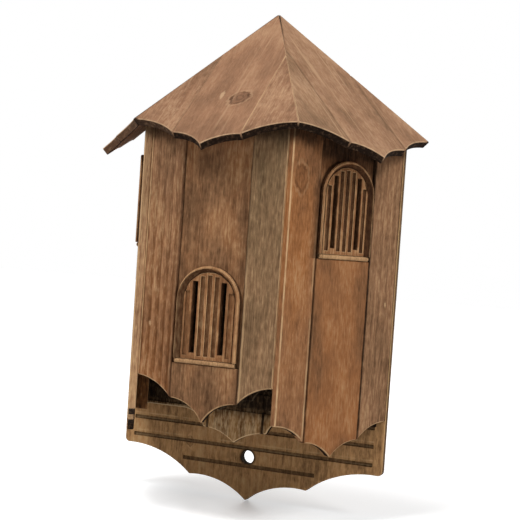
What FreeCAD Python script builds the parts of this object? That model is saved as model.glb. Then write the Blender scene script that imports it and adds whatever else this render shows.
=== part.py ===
import FreeCAD, Part
import math
import os

# Bat box for a wall: a half hexagon of upright boards on a wide back plate,
# under a half hexagonal pyramid of three scalloped roof slopes.
# Millimetres. X is to the right, Y goes into the wall, Z is up.
# The origin is the centre of the lower screw hole, where it meets the wall.

V = FreeCAD.Vector

# Boards
plate_board = 7.0
wall_board = 6.5
roof_board = 7.0
plate_width = 250.0
box_depth = 107.0          # plate's front to the outer front corners of the walls
corner_half = 66.0         # outer front corners of the walls, from the middle

# Roof, measured on its upper surface
roof_half_width = 145.0
roof_front_half = 72.5
roof_depth = 121.0
roof_wall_gap = 3.0        # the slopes end just short of the wall
eave_z = 285.6
apex_z = 396.0
# Joints between the boards, where the scallops have their cusps, as shares of the eave's
# length; on the side slopes they are counted from the front hip
front_slope_joints = (0.295, 0.705)
side_slope_joints = (0.306, 0.726)
slope_cusp_drop = 17.0
slope_tip_drop = 31.5

# Lower edges of the walls, the partitions and the plate: heights
front_corner_z = 76.0
front_cusp_z = 59.8
front_tip_z = 41.5
side_corner_z = 46.7
side_cusp_z = 32.5
side_tip_z = 19.4
plate_corner_z = -1.0
plate_cusp_z = -22.4
plate_tip_z = -39.1
plate_cusp_half = 57.0
plate_corner_radius = 4.0
plate_outer_fullness = 1.3  # the plate's arcs are rounder than the others
plate_inner_fullness = 1.5

# Joints between the wall boards
front_joint_half = 30.0
side_window_board = 59.0
side_window_centre = 60.5

# Windows
window_half = 28.0
window_height = 80.5
front_window_z = 89.0
side_window_drop = 104.1   # eave down to the foot of the side windows
window_recess = 2.5        # the window board lies back from its neighbours
frame_proud = 2.5
frame_rim = 2.5
frame_band = 2.5
frame_bevel = 0.8
band_depth = 1.2
sill_height = 4.0
sill_half = 27.0
sill_proud = 3.5
panel_fit = 0.2
panel_set_back = 0.4
flute_pitch = 6.4
flute_count = 7
flute_radius = 1.9
flute_foot = 3.0
flute_margin = 2.4
slot_width = 4.3
slot_flutes = (1, 5)
slot_foot = 9.4
slot_top = 67.5

# Partitions
partition_count = 2
partition_joint_half = 26.0
partition_cusp_half = 30.0
partition_step_half = 50.0
partition_tips = (17.0, 48.7)
partition_cusp_rise = 11.0
partition_step_rise = 25.5
partition_top = 262.0
spacer_width = 12.0
spacer_foot_z = 41.0
cleat_height = 12.0
cleat_thickness = 5.0
cleat_end_gap = 3.0
cleat_drop = 10.0
corner_block_leg = 12.0
corner_block_foot = 84.0

# Grip grooves
groove_pitch = 16.0
groove_height = 3.5
groove_depth = 1.5
plate_groove_half = 116.0
plate_low_groove_half = 64.0
plate_groove_first = -8.0
plate_groove_count = 18
partition_groove_first = 47.0
partition_groove_count = 13

# Fixings
screw_hole_radius = 6.0
hanger_z = 312.0
hanger_half_width = 8.0
hanger_above = 24.0
hanger_below = 18.0
hanger_steel = 1.5
keyhole_radius = 4.25
keyhole_slot_radius = 2.25
keyhole_travel = 10.0
head_pocket_depth = 4.0
head_pocket_radius = 5.5
screw_length = 5.5
screw_radius = 1.2
screw_head_radius = 2.6
screw_edge = 4.0

# Sizes that follow from those above
plate_half = plate_width / 2
plate_front_y = -plate_board
corner_y = plate_front_y - box_depth
side_run = plate_half - corner_half
side_length = math.hypot(side_run, box_depth)
side_angle = math.degrees(math.atan2(box_depth, side_run))
side_along = V(side_run, box_depth, 0) / side_length
side_inward = V(-side_along.y, side_along.x, 0)
inner_arris = V(corner_half, corner_y, 0) + side_inward * wall_board
front_half = inner_arris.x
front_y = inner_arris.y
front_back_y = front_y + wall_board
side_joints = (side_window_centre - side_window_board / 2, side_window_centre + side_window_board / 2)
chamber_depth = (plate_front_y - front_back_y - partition_count * wall_board) / (partition_count + 1)
roof_back_y = -roof_wall_gap
roof_front_y = roof_back_y - roof_depth
side_window_z = eave_z - side_window_drop
panel_half = window_half - frame_rim - frame_band
window_spring = window_height - window_half
reach = 600.0              # longer than the whole part, for cutting tools


def save(node, shape):
    """Write one piece, or one group of like pieces, as a STEP file."""
    shape.exportStep("parts/" + node + ".step")


def mirrored(shape):
    """Return the shape's left-hand twin."""
    return shape.mirror(V(0, 0, 0), V(1, 0, 0))


def at(shape, x, y, z):
    """Return a copy of the shape moved by x, y, z."""
    copy = shape.copy()
    copy.translate(V(x, y, z))
    return copy


def line(start, end):
    """Return a straight edge between two (x, z) points."""
    return Part.makeLine(V(start[0], 0, start[1]), V(end[0], 0, end[1]))


def scallop(high, low, fullness=1.0):
    """Return an arc between two (x, z) points that leaves the high one level.

    A fullness over one makes it bulge more, and one under one makes it flatter.
    """
    run = low[0] - high[0]
    fall = high[1] - low[1]
    radius = (run * run + fall * fall) / (2 * fall)
    slope = math.atan2(fall, abs(run))
    level_x = high[0] + math.copysign(radius * math.sin(slope), run)
    level_z = high[1] - radius * (1 - math.cos(slope))
    chord_x = (high[0] + low[0]) / 2
    chord_z = (high[1] + low[1]) / 2
    middle_x = chord_x + (level_x - chord_x) * fullness
    middle_z = chord_z + (level_z - chord_z) * fullness
    arc = Part.Arc(V(high[0], 0, high[1]), V(middle_x, 0, middle_z), V(low[0], 0, low[1]))
    return arc.toShape()


def slab(edges, thickness):
    """Return the board whose outline in the XZ plane is given, going back in Y."""
    wire = Part.Wire(Part.__sortEdges__(edges))
    return Part.Face(wire).extrude(V(0, thickness, 0))


def strip(board, start, end):
    """Return the upright strip of a board between two x values."""
    return board.common(Part.makeBox(end - start, reach, 2 * reach, V(start, -reach / 2, -reach)))


def half_space(point, normal):
    """Return a large block behind the plane through the point."""
    block = Part.makeBox(2 * reach, 2 * reach, 2 * reach, V(-reach, -reach, -2 * reach))
    block.Placement = FreeCAD.Placement(point, FreeCAD.Rotation(V(0, 0, 1), normal))
    return block


def side_wall_x(y):
    """Return where the right wall's inner face is, at the given y."""
    return front_half + (y - front_y) * side_run / box_depth


# Roof slopes

class Slope:
    """One slope of the roof, with its own axes: along the eave, up the slope, outward."""

    def __init__(self, start, end, joints):
        """Keep the slope's eave ends, on its upper surface, and the joints of its boards."""
        apex = V(0, roof_back_y, apex_z)
        self.start = start
        self.length = (end - start).Length
        self.joints = [share * self.length for share in joints]
        self.along = (end - start).normalize()
        self.normal = self.along.cross(apex - start).normalize()
        self.upward = self.normal.cross(self.along)
        self.apex_u = (apex - start).dot(self.along)
        self.apex_v = (apex - start).dot(self.upward)

    def under(self):
        """Return everything below the slope's lower surface."""
        return half_space(self.start - self.normal * roof_board, self.normal)

    def outline(self):
        """Return the slope's edges, as (along, up) points in the XZ plane."""
        tip = (self.length / 2, -slope_tip_drop)
        left_cusp = (self.joints[0], -slope_cusp_drop)
        right_cusp = (self.joints[1], -slope_cusp_drop)
        left = (0.0, 0.0)
        right = (self.length, 0.0)
        top = (self.apex_u, self.apex_v)
        return [
            scallop(left, left_cusp),
            scallop(left_cusp, tip),
            scallop(right_cusp, tip),
            scallop(right, right_cusp),
            line(right, top),
            line(top, left),
        ]

    def mitre_to(self, other):
        """Return everything on this slope's side of the mitre with another slope."""
        return half_space(V(0, roof_back_y, apex_z), other.normal - self.normal)

    def boards(self, neighbours):
        """Return the slope's three boards, mitred to its neighbours and cut at the back."""
        axes = FreeCAD.Rotation(self.along, self.normal * -1, self.upward, "XYZ")
        place = FreeCAD.Placement(self.start, axes)
        whole = slab(self.outline(), roof_board)
        cuts = [0.0] + self.joints + [self.length]
        tools = [self.mitre_to(other) for other in neighbours]
        tools.append(half_space(V(0, roof_back_y, 0), V(0, 1, 0)))
        boards = []
        for start, end in zip(cuts, cuts[1:]):
            board = strip(whole, start, end)
            board.Placement = place
            for tool in tools:
                board = board.common(tool)
            boards.append(board)
        return boards


front_left = V(-roof_front_half, roof_front_y, eave_z)
front_right = V(roof_front_half, roof_front_y, eave_z)
rear_right = V(roof_half_width, roof_back_y, eave_z)
rear_left = V(-roof_half_width, roof_back_y, eave_z)
front_slope = Slope(front_left, front_right, front_slope_joints)
right_slope = Slope(front_right, rear_right, side_slope_joints)
left_slope = Slope(rear_left, front_left, side_slope_joints)
under_roof = front_slope.under().common(right_slope.under()).common(left_slope.under())


def make_roof():
    """Save the nine roof boards; the left slope mirrors the right one."""
    names = ("left", "middle", "right")
    for name, board in zip(names, front_slope.boards([left_slope, right_slope])):
        save("front_roof_" + name + "_board", board)
    names = ("front", "middle", "rear")
    for name, board in zip(names, right_slope.boards([front_slope])):
        save("right_roof_" + name + "_board", board)
        save("left_roof_" + name + "_board", mirrored(board))


# Windows, drawn about their own middle, from the foot of the sill, outer wall face at y = 0

def arched(half_width, foot, front, back):
    """Return a round-headed block with its straight sides standing on foot."""
    edges = [
        line((-half_width, foot), (half_width, foot)),
        line((half_width, foot), (half_width, window_spring)),
        Part.Arc(V(half_width, 0, window_spring), V(0, 0, window_spring + half_width),
                 V(-half_width, 0, window_spring)).toShape(),
        line((-half_width, window_spring), (-half_width, foot)),
    ]
    return at(slab(edges, back - front), 0, front, 0)


def window_frame():
    """Return the raised moulding: a bevelled rim and a band that slopes in to the panel."""
    rim_inner = window_half - frame_rim
    shoulder_y = frame_bevel - frame_proud
    corners = [
        V(window_half, window_recess, 0),
        V(window_half, shoulder_y, 0),
        V(window_half - frame_bevel, -frame_proud, 0),
        V(rim_inner + frame_bevel, -frame_proud, 0),
        V(rim_inner, shoulder_y, 0),
        V(panel_half, band_depth, 0),
        V(panel_half, window_recess, 0),
        V(window_half, window_recess, 0),
    ]
    section = Part.Face(Part.makePolygon(corners))
    section.translate(V(0, 0, window_spring))
    head = section.revolve(V(0, 0, window_spring), V(0, 1, 0), -180)
    leg = section.extrude(V(0, 0, sill_height - window_spring))
    return head.fuse([leg, mirrored(leg)]).removeSplitter()


def window_panel():
    """Return the fluted panel, with two of its flutes cut through as slots."""
    half_width = panel_half - panel_fit
    panel = arched(half_width, sill_height, panel_set_back, wall_board)
    tools = []
    for index in range(flute_count):
        x = (index - (flute_count - 1) / 2) * flute_pitch
        if index in slot_flutes:
            height = slot_top - slot_foot
            tools.append(Part.makeBox(slot_width, reach, height, V(x - slot_width / 2, -reach / 2, slot_foot)))
        else:
            foot = sill_height + flute_foot
            top = window_spring + math.sqrt((half_width - flute_margin) ** 2 - x * x)
            tools.append(Part.makeCylinder(flute_radius, top - foot, V(x, panel_set_back, foot)))
    return panel.cut(tools)


def window_sill():
    """Return the round-nosed sill under the window."""
    nose = Part.Arc(V(0, 0, 0), V(0, sill_height / 2 - sill_proud, sill_height / 2), V(0, 0, sill_height))
    edges = [
        nose.toShape(),
        Part.makeLine(V(0, 0, sill_height), V(0, window_recess, sill_height)),
        Part.makeLine(V(0, window_recess, sill_height), V(0, window_recess, 0)),
        Part.makeLine(V(0, window_recess, 0), V(0, 0, 0)),
    ]
    section = Part.Face(Part.Wire(edges))
    section.translate(V(-sill_half, 0, 0))
    return section.extrude(V(2 * sill_half, 0, 0))


def window_strip(board, centre, foot_z):
    """Return a wall's window board, set back, with the opening for its panel."""
    upper = board.common(half_space(V(0, 0, foot_z), V(0, 0, -1)))
    upper = upper.common(half_space(V(0, window_recess, 0), V(0, -1, 0)))
    return upper.cut(at(arched(panel_half, sill_height, 0, 2 * wall_board), centre, 0, foot_z))


# Walls, drawn with their outer face at y = 0 and then put in place

class Wall:
    """One wall of three upright strips; the middle one holds a window."""

    def __init__(self, ends, joints, corner_z, cusp_z, tip_z, window_centre, window_z, place):
        """Keep the wall's size along itself, its lower edge, its window and where it stands."""
        self.ends = ends
        self.joints = joints
        self.heights = (corner_z, cusp_z, tip_z)
        self.window_centre = window_centre
        self.window_z = window_z
        self.place = place

    def whole(self):
        """Return the wall as one board, with its scalloped lower edge."""
        corner_z, cusp_z, tip_z = self.heights
        left, right = self.ends
        left_cusp = (self.joints[0], cusp_z)
        right_cusp = (self.joints[1], cusp_z)
        tip = (self.window_centre, tip_z)
        top = apex_z
        edges = [
            scallop((left, corner_z), left_cusp),
            scallop(left_cusp, tip),
            scallop(right_cusp, tip),
            scallop((right, corner_z), right_cusp),
            line((right, corner_z), (right, top)),
            line((right, top), (left, top)),
            line((left, top), (left, corner_z)),
        ]
        return slab(edges, wall_board)

    def placed(self, shape):
        """Return a shape of the wall's own where the wall stands."""
        copy = shape.copy()
        copy.Placement = self.place.multiply(copy.Placement)
        return copy

    def boards(self):
        """Return the two outer strips, the window board and the board below it."""
        whole = self.whole()
        middle = strip(whole, self.joints[0], self.joints[1])
        shapes = [
            strip(whole, self.ends[0], self.joints[0]),
            strip(whole, self.joints[1], self.ends[1]),
            window_strip(middle, self.window_centre, self.window_z),
            middle.common(half_space(V(0, 0, self.window_z), V(0, 0, 1))),
        ]
        return [self.placed(shape).common(under_roof) for shape in shapes]

    def window(self):
        """Return the window's frame, panel and sill."""
        shapes = [window_frame(), window_panel(), window_sill()]
        return [self.placed(at(shape, self.window_centre, 0, self.window_z)) for shape in shapes]


# The front wall is drawn as wide as the space between the side walls' inner faces, at its back
front_wall = Wall(
    (-side_wall_x(front_back_y), side_wall_x(front_back_y)),
    (-front_joint_half, front_joint_half),
    front_corner_z, front_cusp_z, front_tip_z,
    0.0, front_window_z,
    FreeCAD.Placement(V(0, front_y, 0), FreeCAD.Rotation()),
)
# The side wall runs on past the plate's front, which then trims its back edge
right_wall = Wall(
    (0.0, side_length),
    side_joints,
    side_corner_z, side_cusp_z, side_tip_z,
    side_window_centre, side_window_z,
    FreeCAD.Placement(V(corner_half, corner_y, 0), FreeCAD.Rotation(V(0, 0, 1), side_angle)),
)


def between_walls(front, back):
    """Return the space between the side walls' inner faces, from one y to another."""
    corners = [
        V(-side_wall_x(front), front, -reach),
        V(side_wall_x(front), front, -reach),
        V(side_wall_x(back), back, -reach),
        V(-side_wall_x(back), back, -reach),
        V(-side_wall_x(front), front, -reach),
    ]
    return Part.Face(Part.makePolygon(corners)).extrude(V(0, 0, 2 * reach))


def make_front_wall():
    """Save the front wall's boards, bevelled at the corners, and its window."""
    space = between_walls(front_y, front_back_y)
    names = ("left_board", "right_board", "window_board", "lower_board")
    for name, board in zip(names, front_wall.boards()):
        save("front_" + name, board.common(space))
    for name, piece in zip(("frame", "panel", "sill"), front_wall.window()):
        save("front_window_" + name, piece)


def make_side_walls():
    """Save the side walls' boards, trimmed to the plate, and their windows."""
    before_plate = half_space(V(0, plate_front_y, 0), V(0, 1, 0))
    names = ("front_board", "rear_board", "window_board", "lower_board")
    for name, board in zip(names, right_wall.boards()):
        board = board.common(before_plate)
        save("right_" + name, board)
        save("left_" + name, mirrored(board))
    for name, piece in zip(("frame", "panel", "sill"), right_wall.window()):
        save("right_window_" + name, piece)
        save("left_window_" + name, mirrored(piece))


# Back plate and hanger

def grooves(half_width, first_z, count, face_y):
    """Return the tools that cut level grip grooves into a face looking along -Y."""
    tools = []
    for index in range(count):
        z = first_z + index * groove_pitch - groove_height / 2
        corner = V(-half_width, face_y - groove_depth, z)
        tools.append(Part.makeBox(2 * half_width, 2 * groove_depth, groove_height, corner))
    return tools


def hanger_screw_heights():
    """Return the heights of the two screws in the hanger."""
    return (hanger_z - hanger_below + screw_edge, hanger_z + hanger_above - screw_edge)


def hanger_outline(grow, depth):
    """Return the keyhole's slotted outline, grown by an amount, cut in from the back."""
    entry = Part.makeCylinder(keyhole_radius + grow, depth, V(0, 0, hanger_z), V(0, -1, 0))
    radius = keyhole_slot_radius + grow
    slot_end = Part.makeCylinder(radius, depth, V(0, 0, hanger_z + keyhole_travel), V(0, -1, 0))
    slot = Part.makeBox(2 * radius, depth, keyhole_travel, V(-radius, -depth, hanger_z))
    return entry.fuse([slot_end, slot])


def hanger_blank():
    """Return the hanger before its holes are cut, rounded at its four corners."""
    height = hanger_above + hanger_below
    blank = Part.makeBox(2 * hanger_half_width, hanger_steel, height,
                         V(-hanger_half_width, -hanger_steel, hanger_z - hanger_below))
    return blank.makeFillet(2.0, [edge for edge in blank.Edges if abs(edge.tangentAt(0).y) > 0.5])


def hanger_screw(z):
    """Return one countersunk screw, its head flush with the steel."""
    head = Part.makeCone(screw_head_radius, screw_radius, hanger_steel, V(0, 0, z), V(0, -1, 0))
    shank = Part.makeCylinder(screw_radius, screw_length, V(0, 0, z), V(0, -1, 0))
    return head.fuse(shank).removeSplitter()


def make_hanger():
    """Save the keyhole hanger and its two screws; return what they need cut in the plate."""
    screws = [hanger_screw(z) for z in hanger_screw_heights()]
    blank = hanger_blank()
    hanger = blank.cut([hanger_outline(0, hanger_steel)] + screws)
    save("hanger_plate", hanger)
    save("hanger_screws", Part.makeCompound(screws))
    grow = head_pocket_radius - keyhole_radius
    pocket = hanger_outline(grow, hanger_steel + head_pocket_depth)
    return [blank, pocket] + screws


def make_plate():
    """Save the back plate: scalloped foot, gable top, grip grooves, screw hole, hanger."""
    edges = []
    for side in (-1, 1):
        corner = (side * plate_half, plate_corner_z)
        cusp = (side * plate_cusp_half, plate_cusp_z)
        edges.append(scallop(corner, cusp, plate_outer_fullness))
        edges.append(scallop(cusp, (0, plate_tip_z), plate_inner_fullness))
        edges.append(line(corner, (side * plate_half, apex_z)))
    edges.append(line((-plate_half, apex_z), (plate_half, apex_z)))
    plate = at(slab(edges, plate_board), 0, plate_front_y, 0)
    lower_corners = []
    for edge in plate.Edges:
        middle = edge.CenterOfMass
        if abs(abs(middle.x) - plate_half) < 0.01 and abs(middle.z - plate_corner_z) < 0.01:
            lower_corners.append(edge)
    plate = plate.makeFillet(plate_corner_radius, lower_corners).common(under_roof)
    tools = grooves(plate_low_groove_half, plate_groove_first, 1, plate_front_y)
    first_wide = plate_groove_first + groove_pitch
    tools += grooves(plate_groove_half, first_wide, plate_groove_count - 1, plate_front_y)
    tools.append(Part.makeCylinder(screw_hole_radius, 4 * plate_board, V(0, -2 * plate_board, 0), V(0, 1, 0)))
    save("back_plate", plate.cut(tools + make_hanger()))


# Inside

def partition(front, tip_z):
    """Return the three boards of the partition whose front face is at the given y."""
    cusp_z = tip_z + partition_cusp_rise
    step_z = tip_z + partition_step_rise
    end = side_wall_x(front + wall_board)
    edges = [line((-end, partition_top), (end, partition_top))]
    for side in (-1, 1):
        cusp = (side * partition_cusp_half, cusp_z)
        step_x = min(partition_step_half, end - cleat_end_gap)
        step = (side * step_x, step_z)
        edges.append(scallop(cusp, (0, tip_z)))
        edges.append(scallop(step, cusp))
        edges.append(line(step, (side * end, step_z)))
        edges.append(line((side * end, step_z), (side * end, partition_top)))
    whole = at(slab(edges, wall_board), 0, front, 0)
    whole = whole.common(between_walls(front, front + wall_board))
    first = math.ceil((step_z - partition_groove_first) / groove_pitch)
    first = max(first, 0)
    first_z = partition_groove_first + first * groove_pitch
    whole = whole.cut(grooves(reach, first_z, partition_groove_count - first, front))
    joint = partition_joint_half
    return [strip(whole, -end, -joint), strip(whole, -joint, joint), strip(whole, joint, end)]


def cleat(back):
    """Return the batten across the back of a partition, which ties its boards together."""
    half_width = side_wall_x(back) - spacer_width - cleat_end_gap
    foot = partition_top - cleat_drop - cleat_height
    return Part.makeBox(2 * half_width, cleat_thickness, cleat_height, V(-half_width, back, foot))


def spacer(front, back):
    """Return the batten that keeps two boards apart, against the right wall."""
    corners = [
        V(side_wall_x(front), front, spacer_foot_z),
        V(side_wall_x(back), back, spacer_foot_z),
        V(side_wall_x(back) - spacer_width, back, spacer_foot_z),
        V(side_wall_x(front) - spacer_width, front, spacer_foot_z),
        V(side_wall_x(front), front, spacer_foot_z),
    ]
    return Part.Face(Part.makePolygon(corners)).extrude(V(0, 0, partition_top - spacer_foot_z))


def make_partitions():
    """Save both partitions with their cleats, and the spacers behind each."""
    behind = plate_front_y
    for name, tip_z in zip(("rear", "front"), partition_tips):
        back = behind - chamber_depth
        front = back - wall_board
        for part_name, board in zip(("left", "centre", "right"), partition(front, tip_z)):
            save(name + "_partition_" + part_name, board)
        save(name + "_partition_cleat", cleat(back))
        batten = spacer(back, behind)
        save(name + "_spacer_right", batten)
        save(name + "_spacer_left", mirrored(batten))
        behind = front


def make_corner_blocks():
    """Save the three-cornered glue blocks behind the front corners."""
    corner = V(side_wall_x(front_back_y), front_back_y, corner_block_foot)
    points = [
        corner,
        corner + side_along * corner_block_leg,
        corner - V(corner_block_leg, 0, 0),
        corner,
    ]
    block = Part.Face(Part.makePolygon(points)).extrude(V(0, 0, apex_z)).common(under_roof)
    save("right_corner_block", block)
    save("left_corner_block", mirrored(block))


os.makedirs("parts", exist_ok=True)
make_plate()
make_front_wall()
make_side_walls()
make_partitions()
make_corner_blocks()
make_roof()
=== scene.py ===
"""Looks for a wall-hung bat box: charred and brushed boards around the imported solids.

Every wooden piece is an eased copy of its solid, so that it sits where the solid sits.
Its arrises are rounded and worn, its joints and rims are charred, and its grain follows
the board's own length. All sizes are in metres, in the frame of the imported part.
"""

import logging
import math
import random
from dataclasses import dataclass, field
from enum import Enum
from functools import reduce
from typing import Any

import bmesh
import bpy
from mathutils import Matrix, Vector
from mathutils.geometry import intersect_point_line


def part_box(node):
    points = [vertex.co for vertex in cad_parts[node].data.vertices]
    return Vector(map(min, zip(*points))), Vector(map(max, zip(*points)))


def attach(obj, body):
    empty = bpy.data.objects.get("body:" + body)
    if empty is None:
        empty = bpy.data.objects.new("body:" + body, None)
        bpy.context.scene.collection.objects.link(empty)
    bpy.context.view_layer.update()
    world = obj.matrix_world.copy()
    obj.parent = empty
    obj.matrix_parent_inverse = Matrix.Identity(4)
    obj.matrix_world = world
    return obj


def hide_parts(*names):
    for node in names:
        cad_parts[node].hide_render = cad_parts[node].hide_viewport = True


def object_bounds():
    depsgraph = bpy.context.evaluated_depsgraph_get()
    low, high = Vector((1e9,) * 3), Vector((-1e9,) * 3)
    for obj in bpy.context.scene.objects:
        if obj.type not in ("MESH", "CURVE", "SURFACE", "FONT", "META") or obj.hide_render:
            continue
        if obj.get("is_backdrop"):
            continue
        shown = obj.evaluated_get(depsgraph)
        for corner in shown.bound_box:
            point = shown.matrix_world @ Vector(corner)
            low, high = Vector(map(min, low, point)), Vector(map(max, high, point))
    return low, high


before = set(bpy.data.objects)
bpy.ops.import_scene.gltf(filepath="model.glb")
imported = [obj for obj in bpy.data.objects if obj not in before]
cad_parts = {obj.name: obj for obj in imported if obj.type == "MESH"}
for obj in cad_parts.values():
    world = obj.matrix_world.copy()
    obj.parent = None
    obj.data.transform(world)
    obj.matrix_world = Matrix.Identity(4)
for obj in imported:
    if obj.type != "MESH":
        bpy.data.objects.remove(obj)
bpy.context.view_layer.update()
BODY = "root"
MM = 0.001
UP = Vector((0, 0, 1))
MIRROR = Vector((-1, 1, 1))
FAR = 1.0

# How much of a face's normal points a way for the face to face that way, or squarely.
FACING = 0.6
SQUARELY = 0.9

# Solids are cleaned of doubled points, and of edges between faces that lie flat.
DOUBLED = 0.002 * MM
FLAT = math.radians(0.5)

# Reaches in arrises: of a joint's own wear, and of a line that was never brushed.
JOINT_REACH = 1.5
BURNT_REACH = 3

# The share of wear and char that is left aside from the hollows.
ASIDE_SHARE = 0.25

# Grooves are charred between these shares of their depth, and nothing past so many depths.
GROOVE_CHAR = (0.3, 0.9)
BACK_REACH = 3

# How far a board's place in its log may be moved: aside and in depth in mm, along in metres.
ASIDE_MOVE = 5
DEPTH_MOVE = 4
LOG_LENGTH = 4

log = logging.getLogger("bat_box")

# Where a change starts and where it ends, or the values that it starts and ends at.
Ends = tuple[float, float]
Colour = tuple[float, float, float]
Socket = bpy.types.NodeSocket


def channel(value: int) -> float:
    """Return one 0 to 255 value of a paint chart as a share of full light."""
    share = value / 255
    return share / 12.92 if share <= 0.04045 else ((share + 0.055) / 1.055) ** 2.4


def paint(red: int, green: int, blue: int) -> Colour:
    """Return a scene colour from the 0 to 255 values of a paint chart."""
    return channel(red), channel(green), channel(blue)


def emptied(owner: bpy.types.Material | bpy.types.World) -> bpy.types.NodeTree:
    """Empty the node tree of a material or a world.

    Args:
        owner: The material or the world.

    Returns:
        Its node tree.
    """
    owner.use_nodes = True
    owner.node_tree.nodes.clear()
    return owner.node_tree


# Node trees

@dataclass(frozen=True)
class Waves:
    """A noise: its waves to a metre across and along the grain, its layers, their roughness."""

    across: float
    along: float
    detail: float = 2.0
    roughness: float = 0.5


class Tree:
    """A shader node tree that is being built."""

    def __init__(self, tree: bpy.types.NodeTree) -> None:
        """Keep the tree that nodes are added to."""
        self.tree = tree

    def add(self, kind: str, inputs: dict[Any, Any] | None = None, **settings: Any) -> bpy.types.Node:
        """Add a node, set its properties, and set or link its inputs.

        Args:
            kind: The node's type, without the ShaderNode prefix.
            inputs: Input name or number to a constant or to a socket to link from.
            settings: The node's own properties.

        Returns:
            The new node.
        """
        node = self.tree.nodes.new("ShaderNode" + kind)
        for name, value in settings.items():
            setattr(node, name, value)
        for key, value in (inputs or {}).items():
            self.feed(node.inputs[key], value)
        return node

    def feed(self, socket: Socket, value: Any) -> None:
        """Link an input, or set its constant.

        Args:
            socket: The input.
            value: The socket to link from, or a constant; a colour has no alpha.
        """
        if isinstance(value, bpy.types.NodeSocket):
            self.tree.links.new(value, socket)
        elif socket.type == "RGBA":
            socket.default_value = (*value, 1.0)
        else:
            socket.default_value = value

    def use(self, group: bpy.types.NodeTree, inputs: dict[str, Any]) -> Any:
        """Place a node group and return its outputs."""
        return self.add("Group", inputs, node_tree=group).outputs

    def calc(self, operation: str, first: Any, second: Any = 0.0, clamp: bool = False) -> Socket:
        """Return the result of a Math node."""
        return self.add("Math", {0: first, 1: second}, operation=operation, use_clamp=clamp).outputs[0]

    def fold(self, operation: str, values: tuple[Any, ...]) -> Socket:
        """Return what one kind of Math node makes of several values, taken in turn."""
        return reduce(lambda first, second: self.calc(operation, first, second), values)

    def product(self, *values: Any) -> Socket:
        """Return the product of several values."""
        return self.fold("MULTIPLY", values)

    def total(self, *values: Any) -> Socket:
        """Return the sum of several values."""
        return self.fold("ADD", values)

    def largest(self, *values: Any) -> Socket:
        """Return the largest of several values."""
        return self.fold("MAXIMUM", values)

    def gap(self, first: Any, second: Any) -> Socket:
        """Return how far apart two values are."""
        return self.calc("ABSOLUTE", self.calc("SUBTRACT", first, second))

    def length(self, vector: Any) -> Socket:
        """Return a vector's length."""
        return self.add("VectorMath", {0: vector}, operation="LENGTH").outputs["Value"]

    def parts(self, vector: Any) -> Any:
        """Return the three parts of a vector."""
        return self.add("SeparateXYZ", {0: vector}).outputs

    def scaled(self, vector: Any, x: float, y: float, z: float) -> Socket:
        """Return a vector with each part multiplied by its own factor."""
        return self.add("VectorMath", {0: vector, 1: (x, y, z)}, operation="MULTIPLY").outputs[0]

    def noise(self, vector: Any, waves: Waves) -> Socket:
        """Add a noise that is drawn out along the grain.

        Args:
            vector: The place in the log, with the log along Z.
            waves: The noise's waves.

        Returns:
            A value about one half.
        """
        place = self.scaled(vector, waves.across, waves.across, waves.along)
        inputs = {"Vector": place, "Scale": 1.0, "Detail": waves.detail, "Roughness": waves.roughness}
        return self.add("TexNoise", inputs).outputs[0]

    def signed(self, vector: Any, waves: Waves, gain: float) -> Socket:
        """Return a noise moved to lie about nought, times a gain."""
        return self.product(self.calc("SUBTRACT", self.noise(vector, waves), 0.5), gain)

    def remap(self, value: Any, low: float, high: float, start: Any = 0.0, end: float = 1.0) -> Socket:
        """Return a value mapped smoothly from one range to another, and held inside it."""
        inputs = {"Value": value, "From Min": low, "From Max": high, "To Min": start, "To Max": end}
        return self.add("MapRange", inputs, interpolation_type="SMOOTHSTEP").outputs[0]

    def mix(self, share: Any, first: Any, second: Any) -> Socket:
        """Mix two colours.

        Args:
            share: How much of the second colour shows.
            first: The first colour, or the socket that gives it.
            second: The second colour, or the socket that gives it.

        Returns:
            The mixed colour.
        """
        node = self.add("Mix", {0: share}, data_type="RGBA")
        inputs = [socket for socket in node.inputs if socket.type == "RGBA"]
        for socket, colour in zip(inputs, (first, second)):
            self.feed(socket, colour)
        return next(socket for socket in node.outputs if socket.type == "RGBA")

    def surface(self, inputs: dict[str, Any]) -> None:
        """Add the material's surface shader and its output."""
        shader = self.add("BsdfPrincipled", inputs)
        self.add("OutputMaterial", {"Surface": shader.outputs[0]})


class Group(Tree):
    """A shader node group with named inputs and outputs."""

    def __init__(self, name: str, vectors: tuple[str, ...], values: tuple[str, ...],
                 outputs: tuple[str, ...]) -> None:
        """Make the group and its sockets.

        Args:
            name: The group's name.
            vectors: The names of the inputs that are vectors.
            values: The names of the inputs that are plain values.
            outputs: The names of the outputs, which are all plain values.
        """
        super().__init__(bpy.data.node_groups.new(name, "ShaderNodeTree"))
        sockets = ((vectors, "INPUT", "Vector"), (values, "INPUT", "Float"), (outputs, "OUTPUT", "Float"))
        for labels, direction, kind in sockets:
            for label in labels:
                self.tree.interface.new_socket(label, in_out=direction, socket_type="NodeSocket" + kind)
        self.given = self.tree.nodes.new("NodeGroupInput").outputs
        self.results = self.tree.nodes.new("NodeGroupOutput").inputs

    def give(self, **values: Socket) -> None:
        """Link values to the group's outputs, by name."""
        for name, value in values.items():
            self.tree.links.new(value, self.results[name])


# Effects that the wooden finishes share

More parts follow.
